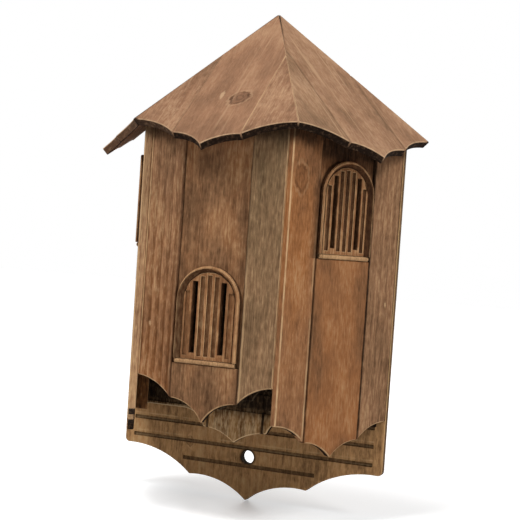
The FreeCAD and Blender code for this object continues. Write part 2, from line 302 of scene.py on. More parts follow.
@dataclass(frozen=True)
class KnotEffect:
    """One knot, in shares of its half size: where its rim, its halo and its pull lie."""

    uneven: Waves = Waves(0.9, 0.9, 3.0, 0.6)
    sided: Waves = Waves(0.8, 0.8)
    unevenness: float = 1.3
    rings: float = 1.9
    ring_rise: Ends = (0.35, 0.75)
    ring_fall: Ends = (1.0, 0.8)
    core: float = 0.35
    core_edge: Ends = (1.05, 0.85)
    side_edge: Ends = (0.36, 0.58)
    far_side: float = 0.15
    rim: float = 0.93
    rim_fade: Ends = (0.2, 0.04)
    halo: float = 1.24
    halo_fade: Ends = (0.2, 0.03)
    pull: float = 1.7

    def group(self) -> bpy.types.NodeTree:
        """Build the group that draws one knot and bends the grain around it.

        Returns:
            The group: Mark is dark on the knot's rim and rings, Halo is light round it, and
            Pull is how far it pushes the board's rings aside.
        """
        group = Group("knot", ("Place",), (), ("Mark", "Halo", "Pull"))
        place = group.given["Place"]
        distance = group.length(place)
        radius = group.total(distance, group.signed(place, self.uneven, self.unevenness))
        phase = group.calc("FRACT", group.product(radius, self.rings))
        ring = group.product(group.remap(phase, *self.ring_rise), group.remap(phase, *self.ring_fall))
        inside = group.remap(radius, *self.core_edge)
        core = group.product(inside, group.total(self.core, group.product(ring, self.core)))
        side = group.remap(group.noise(place, self.sided), *self.side_edge, self.far_side)
        rim = group.product(group.remap(group.gap(radius, self.rim), *self.rim_fade), side)
        halo = group.product(group.remap(group.gap(radius, self.halo), *self.halo_fade), side)
        falloff = group.calc("POWER", group.calc("DIVIDE", distance, self.pull), 2.0)
        pull = group.calc("POWER", math.e, group.product(falloff, -1.0))
        group.give(Mark=group.largest(rim, core), Halo=halo, Pull=pull)
        return group.tree


@dataclass(frozen=True)
class GrainEffect:
    """The growth rings, fibres and blotches of a fir board, and how its rings are bent."""

    slow: Waves = Waves(13, 3.5)
    quick: Waves = Waves(90, 26, 3.0)
    fibre: Waves = Waves(850, 85, 3.0, 0.65)
    mottle: Waves = Waves(330, 170, 3.0, 0.6)
    blotch: Waves = Waves(38, 17, 3.0, 0.55)
    streak: Waves = Waves(210, 6.5)
    slow_bend: float = 18 * MM
    quick_bend: float = 2.5 * MM
    knot_bend: float = 8 * MM
    ring_rise: Ends = (0.1, 0.75)
    ring_fall: Ends = (1.0, 0.88)
    streak_edge: Ends = (0.62, 0.7)
    contrast: float = 6.0
    ring_height: float = 0.8

    def group(self, knot: bpy.types.NodeTree) -> bpy.types.NodeTree:
        """Build the group that draws the grain.

        Args:
            knot: The group that draws one knot.

        Returns:
            The group. Grain is the place in the log, in metres, with the log along Z.
        """
        outputs = ("Rings", "Fibre", "Mottle", "Blotch", "Streak", "Knot", "Halo", "Height")
        group = Group("fir_grain", ("Grain", "Knot A", "Knot B"), ("Ring Spacing",), outputs)
        grain = group.given["Grain"]
        first, second = (group.use(knot, {"Place": group.given[name]}) for name in ("Knot A", "Knot B"))
        distance = group.total(
            group.length(group.scaled(grain, 1, 1, 0)),
            group.signed(grain, self.slow, self.slow_bend),
            group.signed(grain, self.quick, self.quick_bend),
            group.product(group.total(first["Pull"], second["Pull"]), self.knot_bend),
        )
        phase = group.calc("FRACT", group.calc("DIVIDE", distance, group.given["Ring Spacing"]))
        rings = group.product(group.remap(phase, *self.ring_rise), group.remap(phase, *self.ring_fall))
        fibre = group.signed(grain, self.fibre, self.contrast)
        group.give(
            Rings=rings,
            Fibre=fibre,
            Mottle=group.signed(grain, self.mottle, self.contrast),
            Blotch=group.signed(grain, self.blotch, self.contrast),
            Streak=group.remap(group.noise(grain, self.streak), *self.streak_edge),
            Knot=group.largest(first["Mark"], second["Mark"]),
            Halo=group.largest(first["Halo"], second["Halo"]),
            Height=group.total(group.product(rings, self.ring_height), fibre),
        )
        return group.tree


@dataclass(frozen=True)
class EdgeEffect:
    """Worn arrises, charred joint lines with pale lips, and painted shade above a line: how far each one
    fades.
    """

    patchy: Waves = Waves(190, 75, 3.0, 0.6)
    ragged: Waves = Waves(90, 60, 3.0)
    broken: Waves = Waves(30, 22, 3.0, 0.65)
    patch_edge: Ends = (0.34, 0.6)
    break_edge: Ends = (0.4, 0.56)
    raggedness: float = 1.6 * MM
    painted_shade_raggedness: float = 2.0
    line: Ends = (1.7 * MM, 0.4 * MM)
    lip_inner: Ends = (1.0 * MM, 1.6 * MM)
    lip_outer: Ends = (3.2 * MM, 2.3 * MM)
    # How the painted shade fades in, from this far below a board's painted shade line to this far above it;
    # it stands in for the shade under the eaves and deep inside the box.
    char_and_shade: Ends = (9 * MM, -4 * MM)

    def group(self) -> bpy.types.NodeTree:
        """Build the group that marks a board's edges.

        Returns:
            The group. Arris is 1 on a rounded edge. Span holds the distances from the board's
            left and right joints and below its painted shade line, in metres; Line and Lip hold how
            strongly each of the two joints shows.
        """
        group = Group("edge_wear", ("Span", "Line", "Lip", "Grain"), ("Arris", "Amount", "Evenness"),
                      ("Worn", "Charred", "Sooted"))
        given = group.given
        grain = given["Grain"]
        patchy = group.remap(group.noise(grain, self.patchy), *self.patch_edge, given["Evenness"])
        worn = group.product(given["Arris"], patchy, given["Amount"])
        gaps, lines, lips = (group.parts(given[name]) for name in ("Span", "Line", "Lip"))
        ragged = group.signed(grain, self.ragged, self.raggedness)
        broken = group.remap(group.noise(grain, self.broken), *self.break_edge)
        charred = 0.0
        for index in range(len(BOTH)):
            near = group.total(gaps[index], ragged)
            charred = group.largest(group.product(group.remap(near, *self.line), lines[index]), charred)
            lip = group.product(group.remap(near, *self.lip_inner), group.remap(near, *self.lip_outer))
            worn = group.largest(group.product(lip, broken, lips[index]), worn)
        # Painted shade above the painted shade line, with a ragged edge.
        below_painted_shade_line = group.total(gaps[2], group.product(ragged, self.painted_shade_raggedness))
        group.give(Worn=worn, Charred=charred, Sooted=group.remap(below_painted_shade_line, *self.char_and_shade))
        return group.tree


@dataclass(frozen=True)
class GrooveEffect:
    """The pale worn edges of a row of grooves, in shares of the grooves' pitch."""

    ragged: Waves = Waves(200, 200, 3.0)
    broken: Waves = Waves(45, 70, 3.0, 0.65)
    raggedness: float = 0.05
    break_edge: Ends = (0.4, 0.6)
    least: float = 0.1
    lowest: float = -0.15
    rise: float = 0.035
    upper: Ends = (0.06, 0.02)
    upper_share: float = 0.6
    lower: Ends = (0.09, 0.04)

    def group(self) -> bpy.types.NodeTree:
        """Build the group that marks the edges above and below each groove.

        Returns:
            The group. Place holds the share of the grooves' half length, the groove's height
            and the place up the row, both in pitches.
        """
        group = Group("groove_edges", ("Place", "Grain"), (), ("Worn",))
        grain = group.given["Grain"]
        along, height, up = group.parts(group.given["Place"])
        inside = group.product(group.calc("LESS_THAN", group.calc("ABSOLUTE", along), 1.0),
                               group.calc("GREATER_THAN", up, self.lowest))
        phase = group.calc("FRACT", group.total(up, group.signed(grain, self.ragged, self.raggedness)))
        above = group.gap(phase, group.total(height, self.rise))
        below = group.calc("SUBTRACT", 1.0, phase)
        edge = group.largest(group.product(group.remap(above, *self.upper), self.upper_share),
                             group.remap(below, *self.lower))
        broken = group.remap(group.noise(grain, self.broken), *self.break_edge, self.least)
        group.give(Worn=group.product(edge, broken, inside))
        return group.tree


@dataclass(frozen=True)
class CharAndShadeEffect:
    """Char and painted shade that gather where a board meets an arched moulding or a hole."""

    ragged: Waves = Waves(160, 90, 3.0)
    raggedness: float = 0.06
    lowest: float = 1.2

    def group(self) -> bpy.types.NodeTree:
        """Build the group that darkens the board around the arch with char and painted shade.

        Returns:
            The group. Arch holds the place across the arch, the length of its straight sides
            and the place up from its middle, all in the arch's own radius; Soft is how far
            the char and painted shade reach past it.
        """
        group = Group("arch_char_and_shade", ("Arch", "Grain"), ("Soft",), ("Soot",))
        across, straight, up = group.parts(group.given["Arch"])
        above = group.calc("MAXIMUM", up, 0.0)
        below = group.calc("MINIMUM", group.total(up, straight), 0.0)
        bent = group.add("CombineXYZ", {0: across, 1: group.total(above, below)}).outputs[0]
        ragged = group.signed(group.given["Grain"], self.ragged, self.raggedness)
        beyond = group.calc("SUBTRACT", group.total(group.length(bent), ragged), 1.0)
        foot = group.largest(straight, self.lowest)
        reached = group.calc("LESS_THAN", group.product(up, -1.0), foot)
        char_and_shade = group.remap(group.calc("DIVIDE", beyond, group.given["Soft"]), 1.0, 0.0)
        group.give(Soot=group.product(char_and_shade, reached))
        return group.tree


class SharedGroups:
    """The node groups that every wooden finish uses, built once."""

    def __init__(self) -> None:
        """Build the groups."""
        self.grain = GrainEffect().group(KnotEffect().group())
        self.edges = EdgeEffect().group()
        self.grooves = GrooveEffect().group()
        self.char_and_shade = CharAndShadeEffect().group()


# Finishes

class Slot(Enum):
    """The record's material slots for wood."""

    PLATE = "plate_wood"
    INNER = "inner_wood"
    WALL = "wall_wood"
    WINDOW = "window_wood"
    MOULDING = "moulding_wood"
    ROOF = "roof_wood"


@dataclass(frozen=True)
class WoodFinish:
    """Charred and brushed fir: its colours, and how strongly its grain and wear show."""

    name: str
    early: Colour
    late: Colour
    grey: Colour
    warm: Colour
    worn: Colour
    stain: Colour = paint(66, 42, 26)
    char: Colour = paint(24, 15, 10)
    knot: Colour = paint(88, 56, 36)
    ring_spacing: float = 6.5 * MM
    fibre: float = 0.25
    mottle: float = 0.2
    blotch: float = 0.22
    streak: float = 0.0
    drift: float = 0.15
    wear: float = 0.85
    evenness: float = 0.3
    rim: float = 0.97
    rim_change: float = 0.2
    # Strength of the char and painted shade round arches and holes.
    char_and_shade: float = 0.8
    # Strength of the painted shade above the painted shade line.
    painted_shade_strength: float = 0.8
    # How far that char and painted shade reach past the arch, in its radius.
    char_and_shade_reach: float = 0.09
    halo: float = 0.35
    groove: float = 0.75
    chip: float = 0.55
    chip_waves: Waves = Waves(1.3, 1.3, 3.0)
    chip_raggedness: float = 1.6
    chip_edge: Ends = (1.2, 0.6)
    patch_waves: Waves = Waves(1.6, 1.2, 3.0)
    patch_raggedness: float = 0.8
    patch_edge: Ends = (1.4, 0.4)
    thin_char: float = 0.88
    thin_char_mottle: Ends = (-0.9, 0.9)
    rim_mottle: Ends = (-0.2, 1.2)
    rough: float = 0.85
    smooth: float = 0.6
    smooth_fibre: Ends = (-0.8, 0.8)
    specular: float = 0.07
    relief: float = 0.5 * MM
    relief_strength: float = 0.5

    def material(self, groups: SharedGroups) -> bpy.types.Material:
        """Build the finish's material.

        Args:
            groups: The shared node groups.

        Returns:
            The material, which reads what each board writes into its mesh.
        """
        material = bpy.data.materials.new(self.name)
        tree = WoodTree(emptied(material), self, groups)
        colour = tree.bare_wood()
        colour = tree.mix(tree.knot, colour, self.knot)
        colour = tree.mix(tree.paleness(), colour, self.worn)
        colour = tree.mix(tree.burning(), colour, self.char)
        bump = {"Height": tree.wood["Height"], "Distance": self.relief, "Strength": self.relief_strength}
        tree.surface({
            "Base Color": colour,
            "Roughness": tree.remap(tree.wood["Fibre"], *self.smooth_fibre, self.rough, self.smooth),
            "Specular IOR Level": self.specular,
            "Normal": tree.add("Bump", bump).outputs[0],
        })
        return material


class WoodTree(Tree):
    """A wooden finish's node tree, with what each board writes into its mesh."""

    vectors = ("grain", "knot_a", "knot_b", "span", "line", "lip", "chip", "look", "patch", "patch_look",
               "arch", "groove", "sides")
    values = ("arris", "hollow", "knot_depth", "brushed")

    def __init__(self, tree: bpy.types.NodeTree, finish: WoodFinish, groups: SharedGroups) -> None:
        """Read the board's marks and place the shared groups.

        Args:
            tree: The material's node tree, emptied.
            finish: The finish's colours and strengths.
            groups: The shared node groups.
        """
        super().__init__(tree)
        self.finish = finish
        marks = {name: self.add("Attribute", attribute_name=name).outputs["Vector"] for name in self.vectors}
        marks |= {name: self.add("Attribute", attribute_name=name).outputs["Fac"] for name in self.values}
        self.marks = marks
        grain = {"Grain": marks["grain"]}
        self.wood = self.use(groups.grain, grain | {
            "Knot A": marks["knot_a"], "Knot B": marks["knot_b"], "Ring Spacing": finish.ring_spacing})
        self.edge = self.use(groups.edges, grain | {
            "Arris": marks["arris"], "Span": marks["span"], "Line": marks["line"], "Lip": marks["lip"],
            "Amount": finish.wear, "Evenness": finish.evenness})
        self.groove = self.use(groups.grooves, grain | {"Place": marks["groove"]})["Worn"]
        self.char_and_shade = self.use(groups.char_and_shade, grain | {"Arch": marks["arch"], "Soft": finish.char_and_shade_reach})["Soot"]
        self.knot = self.product(self.wood["Knot"], marks["knot_depth"])
        self.is_rim, self.is_front, _ = self.parts(marks["sides"])

    def look(self) -> Socket:
        """Change the board's look inside its soft patch, which on some boards is a painted highlight or
        painted shade.

        Returns:
            The tone from grey to warm, the stain with painted shade on some boards, and the figure.
        """
        finish, patch = self.finish, self.marks["patch"]
        ragged = self.signed(patch, finish.patch_waves, finish.patch_raggedness)
        share = self.remap(self.total(self.length(patch), ragged), *finish.patch_edge)
        inputs = {0: self.marks["patch_look"], "Scale": share}
        change = self.add("VectorMath", inputs, operation="SCALE").outputs[0]
        return self.add("VectorMath", {0: self.marks["look"], 1: change}, operation="ADD").outputs[0]

    def bare_wood(self) -> Socket:
        """Colour the open face, before knots, wear and char.

        Returns:
            The colour.
        """
        finish, wood, brushed = self.finish, self.wood, self.marks["brushed"]
        tone, stain, figure = self.parts(self.look())
        colour = self.mix(self.product(wood["Rings"], figure), finish.early, finish.late)
        lean = self.total(tone, self.product(wood["Blotch"], finish.drift))
        colour = self.mix(self.calc("MAXIMUM", lean, 0.0, clamp=True), colour, finish.warm)
        colour = self.mix(self.product(self.calc("MINIMUM", lean, 0.0), -1.0), colour, finish.grey)
        fibre, mottle, blotch = (self.product(wood[name], strength) for name, strength in (
            ("Fibre", finish.fibre), ("Mottle", finish.mottle), ("Blotch", finish.blotch)))
        shade = self.total(self.product(self.total(fibre, mottle), brushed), blotch)
        # The stain darkens the colour, and below nought lightens it; on some boards it is painted shade, in
        # one patch a painted highlight.
        shade = self.calc("SUBTRACT", shade, stain)
        dark = self.calc("MAXIMUM", self.product(shade, -1.0), 0.0, clamp=True)
        streak = self.product(wood["Streak"], brushed, finish.streak)
        light = self.calc("MAXIMUM", shade, streak, clamp=True)
        return self.mix(light, self.mix(dark, colour, finish.stain), finish.worn)

    def paleness(self) -> Socket:
        """Gather what wears the wood pale: its arrises, knot halos, chips and groove edges.

        Returns:
            How pale it is.
        """
        finish, chip = self.finish, self.marks["chip"]
        distance = self.total(self.length(chip), self.signed(chip, finish.chip_waves, finish.chip_raggedness))
        return self.largest(
            self.edge["Worn"],
            self.product(self.wood["Halo"], self.marks["knot_depth"], finish.halo),
            self.remap(distance, *finish.chip_edge, 0.0, finish.chip),
            self.product(self.groove, self.is_front, finish.groove),
        )

    def burning(self) -> Socket:
        """Gather what darkens the wood: its charred hollows, joints and rims, char and painted shade round
        arches and holes, and painted shade above its painted shade line.

        Returns:
            How dark it is, from char and painted shade.
        """
        finish, mottle = self.finish, self.wood["Mottle"]
        burnt = self.largest(
            self.marks["hollow"],
            self.edge["Charred"],
            self.product(self.char_and_shade, finish.char_and_shade),
            self.product(self.edge["Sooted"], finish.painted_shade_strength),
        )
        burnt = self.product(burnt, self.remap(mottle, *finish.thin_char_mottle, 1.0, finish.thin_char))
        rim = self.remap(mottle, *finish.rim_mottle, finish.rim, finish.rim - finish.rim_change)
        return self.largest(burnt, self.product(self.is_rim, rim))


@dataclass(frozen=True)
class MetalFinish:
    """Zinc-plated steel: cloudy plating with fine scratches."""

    name: str
    bright: Colour
    dull: Colour
    roughness: float = 0.35
    dulling: float = 0.2
    clouds: Waves = Waves(260, 260, 4.0, 0.6)
    cloud_edge: Ends = (0.35, 0.65)
    scratches: Waves = Waves(2600, 90)
    relief: float = 0.04 * MM
    relief_strength: float = 0.4

    def material(self) -> bpy.types.Material:
        """Build the finish's material.

        Returns:
            The material.
        """
        material = bpy.data.materials.new(self.name)
        tree = Tree(emptied(material))
        place = tree.add("TexCoord").outputs["Object"]
        cloud = tree.remap(tree.noise(place, self.clouds), *self.cloud_edge)
        bump = {"Height": tree.noise(place, self.scratches), "Distance": self.relief,
                "Strength": self.relief_strength}
        tree.surface({
            "Base Color": tree.mix(cloud, self.bright, self.dull),
            "Metallic": 1.0,
            "Roughness": tree.remap(cloud, 0.0, 1.0, self.roughness, self.roughness + self.dulling),
            "Normal": tree.add("Bump", bump).outputs[0],
        })
        return material


WOODS = {
    # The plate's fir is painted paler than the walls': painted light on the plate that the box shades.
    Slot.PLATE: WoodFinish(
        "plate_fir_painted_light", early=paint(202, 154, 104), late=paint(150, 110, 72), grey=paint(176, 144, 102),
        warm=paint(176, 118, 72), worn=paint(222, 186, 136), fibre=0.2, mottle=0.24, blotch=0.24,
        wear=0.6, rim=0.72, char_and_shade=0.95, char_and_shade_reach=0.55),
    Slot.INNER: WoodFinish(
        "inner_fir", early=paint(176, 132, 84), late=paint(104, 72, 42), grey=paint(134, 106, 70),
        warm=paint(160, 106, 62), worn=paint(240, 204, 156), fibre=0.4, mottle=0.25, wear=0.95,
        evenness=0.55, painted_shade_strength=0.97),
    Slot.WALL: WoodFinish(
        "wall_fir", early=paint(170, 126, 92), late=paint(96, 62, 40), grey=paint(142, 118, 86),
        warm=paint(178, 116, 68), worn=paint(224, 184, 138), fibre=0.32, mottle=0.18, wear=0.95,
        evenness=0.45, char_and_shade_reach=0.42),
    Slot.WINDOW: WoodFinish(
        "window_board_fir", early=paint(156, 114, 80), late=paint(104, 70, 46), grey=paint(134, 104, 76),
        warm=paint(172, 112, 68), worn=paint(214, 172, 126), fibre=0.3, blotch=0.28, drift=0.3,
        wear=0.95, evenness=0.45),
    Slot.MOULDING: WoodFinish(
        "moulding_fir", early=paint(164, 118, 80), late=paint(112, 76, 48), grey=paint(132, 104, 76),
        warm=paint(170, 108, 66), worn=paint(230, 186, 136), char=paint(34, 18, 10),
        ring_spacing=3.4 * MM, fibre=0.26, wear=0.9, rim=0.7, char_and_shade_reach=0.03),
    Slot.ROOF: WoodFinish(
        "roof_fir", early=paint(170, 128, 98), late=paint(142, 102, 76), grey=paint(156, 124, 94),
        warm=paint(178, 130, 98), worn=paint(226, 188, 148), knot=paint(84, 56, 40), fibre=0.12,
        mottle=0.13, blotch=0.25, streak=0.35, drift=0.25, wear=0.75, evenness=0.45),
}
STEELS = {
    "hanger_plate": MetalFinish("hanger_zinc", (0.62, 0.62, 0.60), (0.44, 0.44, 0.43)),
    "hanger_screws": MetalFinish("screw_yellow_zinc", (0.70, 0.60, 0.36), (0.52, 0.45, 0.28), 0.3),
}


# Boards

class Side(Enum):
    """A long edge of a board, as it is seen from outside."""

    LEFT = -1
    RIGHT = 1


BOTH = (Side.LEFT, Side.RIGHT)


class Domain(Enum):
    """What a mesh attribute has one value for."""

    VERTEX = "POINT"
    CORNER = "CORNER"


@dataclass(frozen=True)
class Axes:
    """A board's own directions: across its face, into its thickness, along its grain."""

    across: Vector
    inward: Vector
    along: Vector

    def local(self, point: Vector) -> Vector:
        """Return a point or a direction in the board's own directions."""
        return Vector((point.dot(self.across), point.dot(self.inward), point.dot(self.along)))


FACING_FRONT = Axes(Vector((1, 0, 0)), Vector((0, 1, 0)), UP)


@dataclass(frozen=True)
class Spot:
    """A knot, a chip or a patch: its place, its half sizes across and along, and its turn."""

    place: Vector
    half_across: float
    half_along: float
    turn: float = 0.0

    def seen_from(self, point: Vector, axes: Axes) -> Vector:
        """Work out a point's place from the spot.

        Args:
            point: A point of the board.
            axes: The board's directions.

        Returns:
            The place, in the spot's own half sizes and turned with it.
        """
        local = axes.local(point - self.place)
        across = local.x * math.cos(self.turn) - local.z * math.sin(self.turn)
        along = local.x * math.sin(self.turn) + local.z * math.cos(self.turn)
        return Vector((across / self.half_across, 0.0, along / self.half_along))


@dataclass(frozen=True)
class Arch:
    """A round-headed outline on a board: its head's middle, its radius, its straight sides."""

    middle: Vector
    radius: float
    straight: float = 0.0

    def seen_from(self, point: Vector, axes: Axes) -> Vector:
        """Return a point's place from the arch's middle, as the finish reads it."""
        local = axes.local(point - self.middle)
        return Vector((local.x, self.straight, local.z)) / self.radius


@dataclass(frozen=True)
class Grooves:
    """A row of level grooves: half their length, the lowest one's foot, their height and pitch."""

    half_length: float
    foot: float
    height: float
    pitch: float

    def seen_from(self, point: Vector) -> Vector:
        """Return a point's place in the row, as the finish reads it."""
        up = (point.z - self.foot) / self.pitch
        return Vector((point.x / self.half_length, self.height / self.pitch, up))


NOWHERE = Spot(Vector((FAR, FAR, FAR)) * 9, 10 * MM, 10 * MM)
NO_ARCH = Arch(NOWHERE.place, 10 * MM)
NO_GROOVES = Grooves(MM * MM, 0.0, MM, 16 * MM)


@dataclass(frozen=True)
class Look:
    """How one end of a board looks: from -1, grey, to 1, warm; its stain, painted shade on some boards; its
    figure.
    """

    tone: float = 0.0
    stain: float = 0.0
    figure: float = 0.4

    def vector(self) -> Vector:
        """Return the look as the finish reads it."""
        return Vector((self.tone, self.stain, self.figure))


@dataclass(frozen=True)
class Joint:
    """A board's joint with its neighbour: how dark its line is, how pale its lip and arris."""

    side: Side
    line: float = 0.45
    lip: float = 0.0
    wear: float = 0.0


@dataclass
class EasedShape:
    """A board's eased mesh: its rounded faces, and its vertices in the board's directions."""

    mesh: bmesh.types.BMesh
    rounded: set[bmesh.types.BMFace]
    places: list[Vector]
    low: Vector
    high: Vector


@dataclass
class Board:
    """One wooden piece: an eased copy of its solid that knows its joints, rims and knots."""

    node: str
    axes: Axes
    slot: Slot
    foot: Look = Look()
    head: Look | None = None
    joints: tuple[Joint, ...] = ()
    arris: float = 0.9 * MM
    segments: int = 4
    sharp_angle: float = math.radians(28)
    outline_only: bool = False
    hole_reach: float = 8 * MM
    wear: float = 1.0
    worn_depth: float = 1.2 * MM
    rim_share: float = 1.0
    bare_rim: Side | None = None
    bare_from: float = 8 * MM
    burnt_lines: tuple[tuple[Vector, Vector], ...] = ()
    # Height above which the board gets painted shade; far above by default.
    painted_shade_line: float = 2 * FAR
    arch: Arch = NO_ARCH
    grooves: Grooves = NO_GROOVES
    hollow: float = 0.7
    hollow_from: float = FAR
    hollow_to: float = 2 * FAR
    hollow_half: float = FAR
    vents: tuple[float, ...] = ()
    vent_half: float = 2.9 * MM
    knots: tuple[Spot, ...] = ()
    knot_depth: float = 1.0
    chip: Spot = NOWHERE
    patch: Spot = NOWHERE
    patch_look: Look = Look(0.0, 0.0, 0.0)
    brushed: float = 1.0
    log_aside: float = 8 * MM
    log_depth: float = 35 * MM
    sharp_seen: float = math.radians(40)

    def is_rim(self, face: bmesh.types.BMFace) -> bool:
        """Return whether a face is on the board's rim and not on its front or back."""
        return abs(face.normal.dot(self.axes.inward)) < FACING

    def rim_char(self, face: bmesh.types.BMFace) -> float:
        """Tell how charred a face is for being on the rim.

        Args:
            face: A face of the board.

        Returns:
            1 on an open rim, a joint's own share on a joint, 0 on the front, the back and
            the side that was brushed after charring.
        """
        if not self.is_rim(face):
            return 0.0
        sideways = face.normal.dot(self.axes.across)
        if self.bare_rim and sideways * self.bare_rim.value > FACING:
            return 0.0
        shares = [joint.line for joint in self.joints if sideways * joint.side.value > SQUARELY]
        return shares[0] if shares else self.rim_share

    def is_outline(self, face: bmesh.types.BMFace, thickness: float) -> bool:
        """Return whether a rim face is as deep as the board, and not a groove's or a pocket's."""
        depths = [vert.co.dot(self.axes.inward) for vert in face.verts]
        return max(depths) - min(depths) > SQUARELY * thickness

    def is_eased(self, edge: bmesh.types.BMEdge, thickness: float) -> bool:
        """Tell whether an edge is to be rounded.

        Args:
            edge: An edge of the solid.
            thickness: How thick the board is.

        Returns:
            Whether it points outward and, with outline_only, is no groove's, pocket's or hole's.
        """
        if len(edge.link_faces) != 2 or edge.calc_face_angle_signed(0.0) < self.sharp_angle:
            return False
        if not self.outline_only:
            return True
        rims = [face for face in edge.link_faces if self.is_rim(face)]
        at_hole = all(vert.co.xz.length < self.hole_reach for vert in edge.verts)
        return all(self.is_outline(face, thickness) for face in rims) and not at_hole

    def eased(self) -> EasedShape:
        """Copy the solid and round its outer arrises.

        Returns:
            The eased shape.
        """
        mesh = bmesh.new()
        mesh.from_mesh(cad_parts[self.node].data)
        bmesh.ops.remove_doubles(mesh, verts=mesh.verts, dist=DOUBLED)
        bmesh.ops.dissolve_limit(mesh, angle_limit=FLAT, verts=mesh.verts, edges=mesh.edges, delimit=set())
        depths = [vert.co.dot(self.axes.inward) for vert in mesh.verts]
        thickness = max(depths) - min(depths)
        sharp = [edge for edge in mesh.edges if self.is_eased(edge, thickness)]
        rounded = bmesh.ops.bevel(mesh, geom=sharp, offset=self.arris, offset_type="OFFSET",
                                  segments=self.segments, profile=0.5, affect="EDGES",
                                  clamp_overlap=False, loop_slide=False)
        places = [self.axes.local(vert.co) for vert in mesh.verts]
        low, high = (Vector([pick(part) for part in zip(*places)]) for pick in (min, max))
        return EasedShape(mesh, set(rounded["faces"]), places, low, high)

    def is_burnt(self, point: Vector, seams: list[float]) -> bool:
        """Tell whether a point is on an arris that was never brushed, and not in a joint.

        Args:
            point: A point of the board.
            seams: Where its joints are, across the board.

        Returns:
            Whether it is.
        """
        across = point.dot(self.axes.across)
        if any(abs(across - seam) < JOINT_REACH * self.arris for seam in seams):
            return False
        return any((point - intersect_point_line(point, *line)[0]).length < BURNT_REACH * self.arris
                   for line in self.burnt_lines)

    def beside_hollows(self, strength: float, aside: float) -> float:
        """Return a strength, or what is left of it past the hollows' half width."""
        return strength if abs(aside) < self.hollow_half else ASIDE_SHARE * strength

    def arris_marks(self, shape: EasedShape) -> tuple[list[float], dict[bmesh.types.BMVert, float]]:
        """Work out how worn the arrises are, and how charred.

        Args:
            shape: The eased board.

        Returns:
            The wear of each vertex in order, and the char of each.
        """
        middle = (shape.low.x + shape.high.x) / 2
        seams = [shape.low.x if joint.side is Side.LEFT else shape.high.x for joint in self.joints]
        wear = []
        char = {}
        for vert, place in zip(shape.mesh.verts, shape.places):
            aside = place.x - middle
            flat = [self.rim_char(face) for face in vert.link_faces if face not in shape.rounded]
            in_vent = any(abs(place.x - vent) < self.vent_half for vent in self.vents)
            near_front = place.y - shape.low.y < self.worn_depth
            is_worn = near_front and not in_vent and not self.is_burnt(vert.co, seams)
            is_bare = self.bare_rim and aside * self.bare_rim.value > self.bare_from
            wear.append(self.beside_hollows(self.wear, aside) if is_worn and not flat else 0.0)
            shares = flat or [0.0 if is_worn or is_bare else 1.0]
            char[vert] = max(shares) if in_vent else sum(shares) / len(shares)
        return wear, char

    def side_marks(self, shape: EasedShape, char: dict[bmesh.types.BMVert, float]) -> list[Vector]:
        """Tell the rims and the front of the eased board from its other faces.

        Args:
            shape: The eased board.
            char: How charred each vertex is.

        Returns:
            For each face corner, how charred it is for being on the rim and whether it is on
            the front.
        """
        marks = []
        for face in shape.mesh.faces:
            is_front = float(face.normal.dot(self.axes.inward) < -FACING)
            on_rim = self.rim_char(face)
            for loop in face.loops:
                rim = char[loop.vert] if face in shape.rounded else on_rim
                marks.append(Vector((rim, is_front, 0)))
        return marks

    def spans(self, shape: EasedShape) -> list[Vector]:
        """Measure how far each vertex is from the joints and the painted shade line.

        Args:
            shape: The eased board.

        Returns:
            The distances from the left and right joints and below the painted shade line.
        """
        sides = [joint.side for joint in self.joints]
        left, right = (0.0 if side in sides else FAR for side in BOTH)
        return [Vector((place.x - shape.low.x + left, shape.high.x - place.x + right,
                        self.painted_shade_line - vert.co.z)) for place, vert in zip(shape.places, shape.mesh.verts)]

    def joint_wear(self, wear: float, span: Vector) -> float:
        """Ends the wear of an arris that is in a joint.

        Args:
            wear: How worn the vertex is.
            span: Its distances from the left and right joints.

        Returns:
            The wear that the joint leaves.
        """
        for joint in self.joints:
            gap = span.x if joint.side is Side.LEFT else span.y
            if gap < JOINT_REACH * self.arris:
                wear *= joint.wear
        return wear

    def hollow_char(self, depth: float, aside: float) -> float:
        """Tell how charred a vertex is for lying in a groove.

        Args:
            depth: How far the vertex is behind the board's face.
            aside: How far it is from the board's middle line.

        Returns:
            A share, much smaller outside hollow_half, and none at the back of the board.
        """
        if depth > BACK_REACH * self.hollow_to:
            return 0.0
        share = (depth - self.hollow_from) / (self.hollow_to - self.hollow_from)
        return self.beside_hollows(self.hollow, aside) * min(1.0, max(0.0, share))

    def log_place(self) -> Vector:
        """Draw where the board's middle was in the log, with its own dice.

        Returns:
            The place aside of the heart, in front of it, and along the log.
        """
        dice = random.Random(self.node)
        aside = self.log_aside + dice.uniform(-ASIDE_MOVE, ASIDE_MOVE) * MM
        depth = self.log_depth + dice.uniform(-DEPTH_MOVE, DEPTH_MOVE) * MM
        return Vector((aside, depth, dice.uniform(0, LOG_LENGTH)))

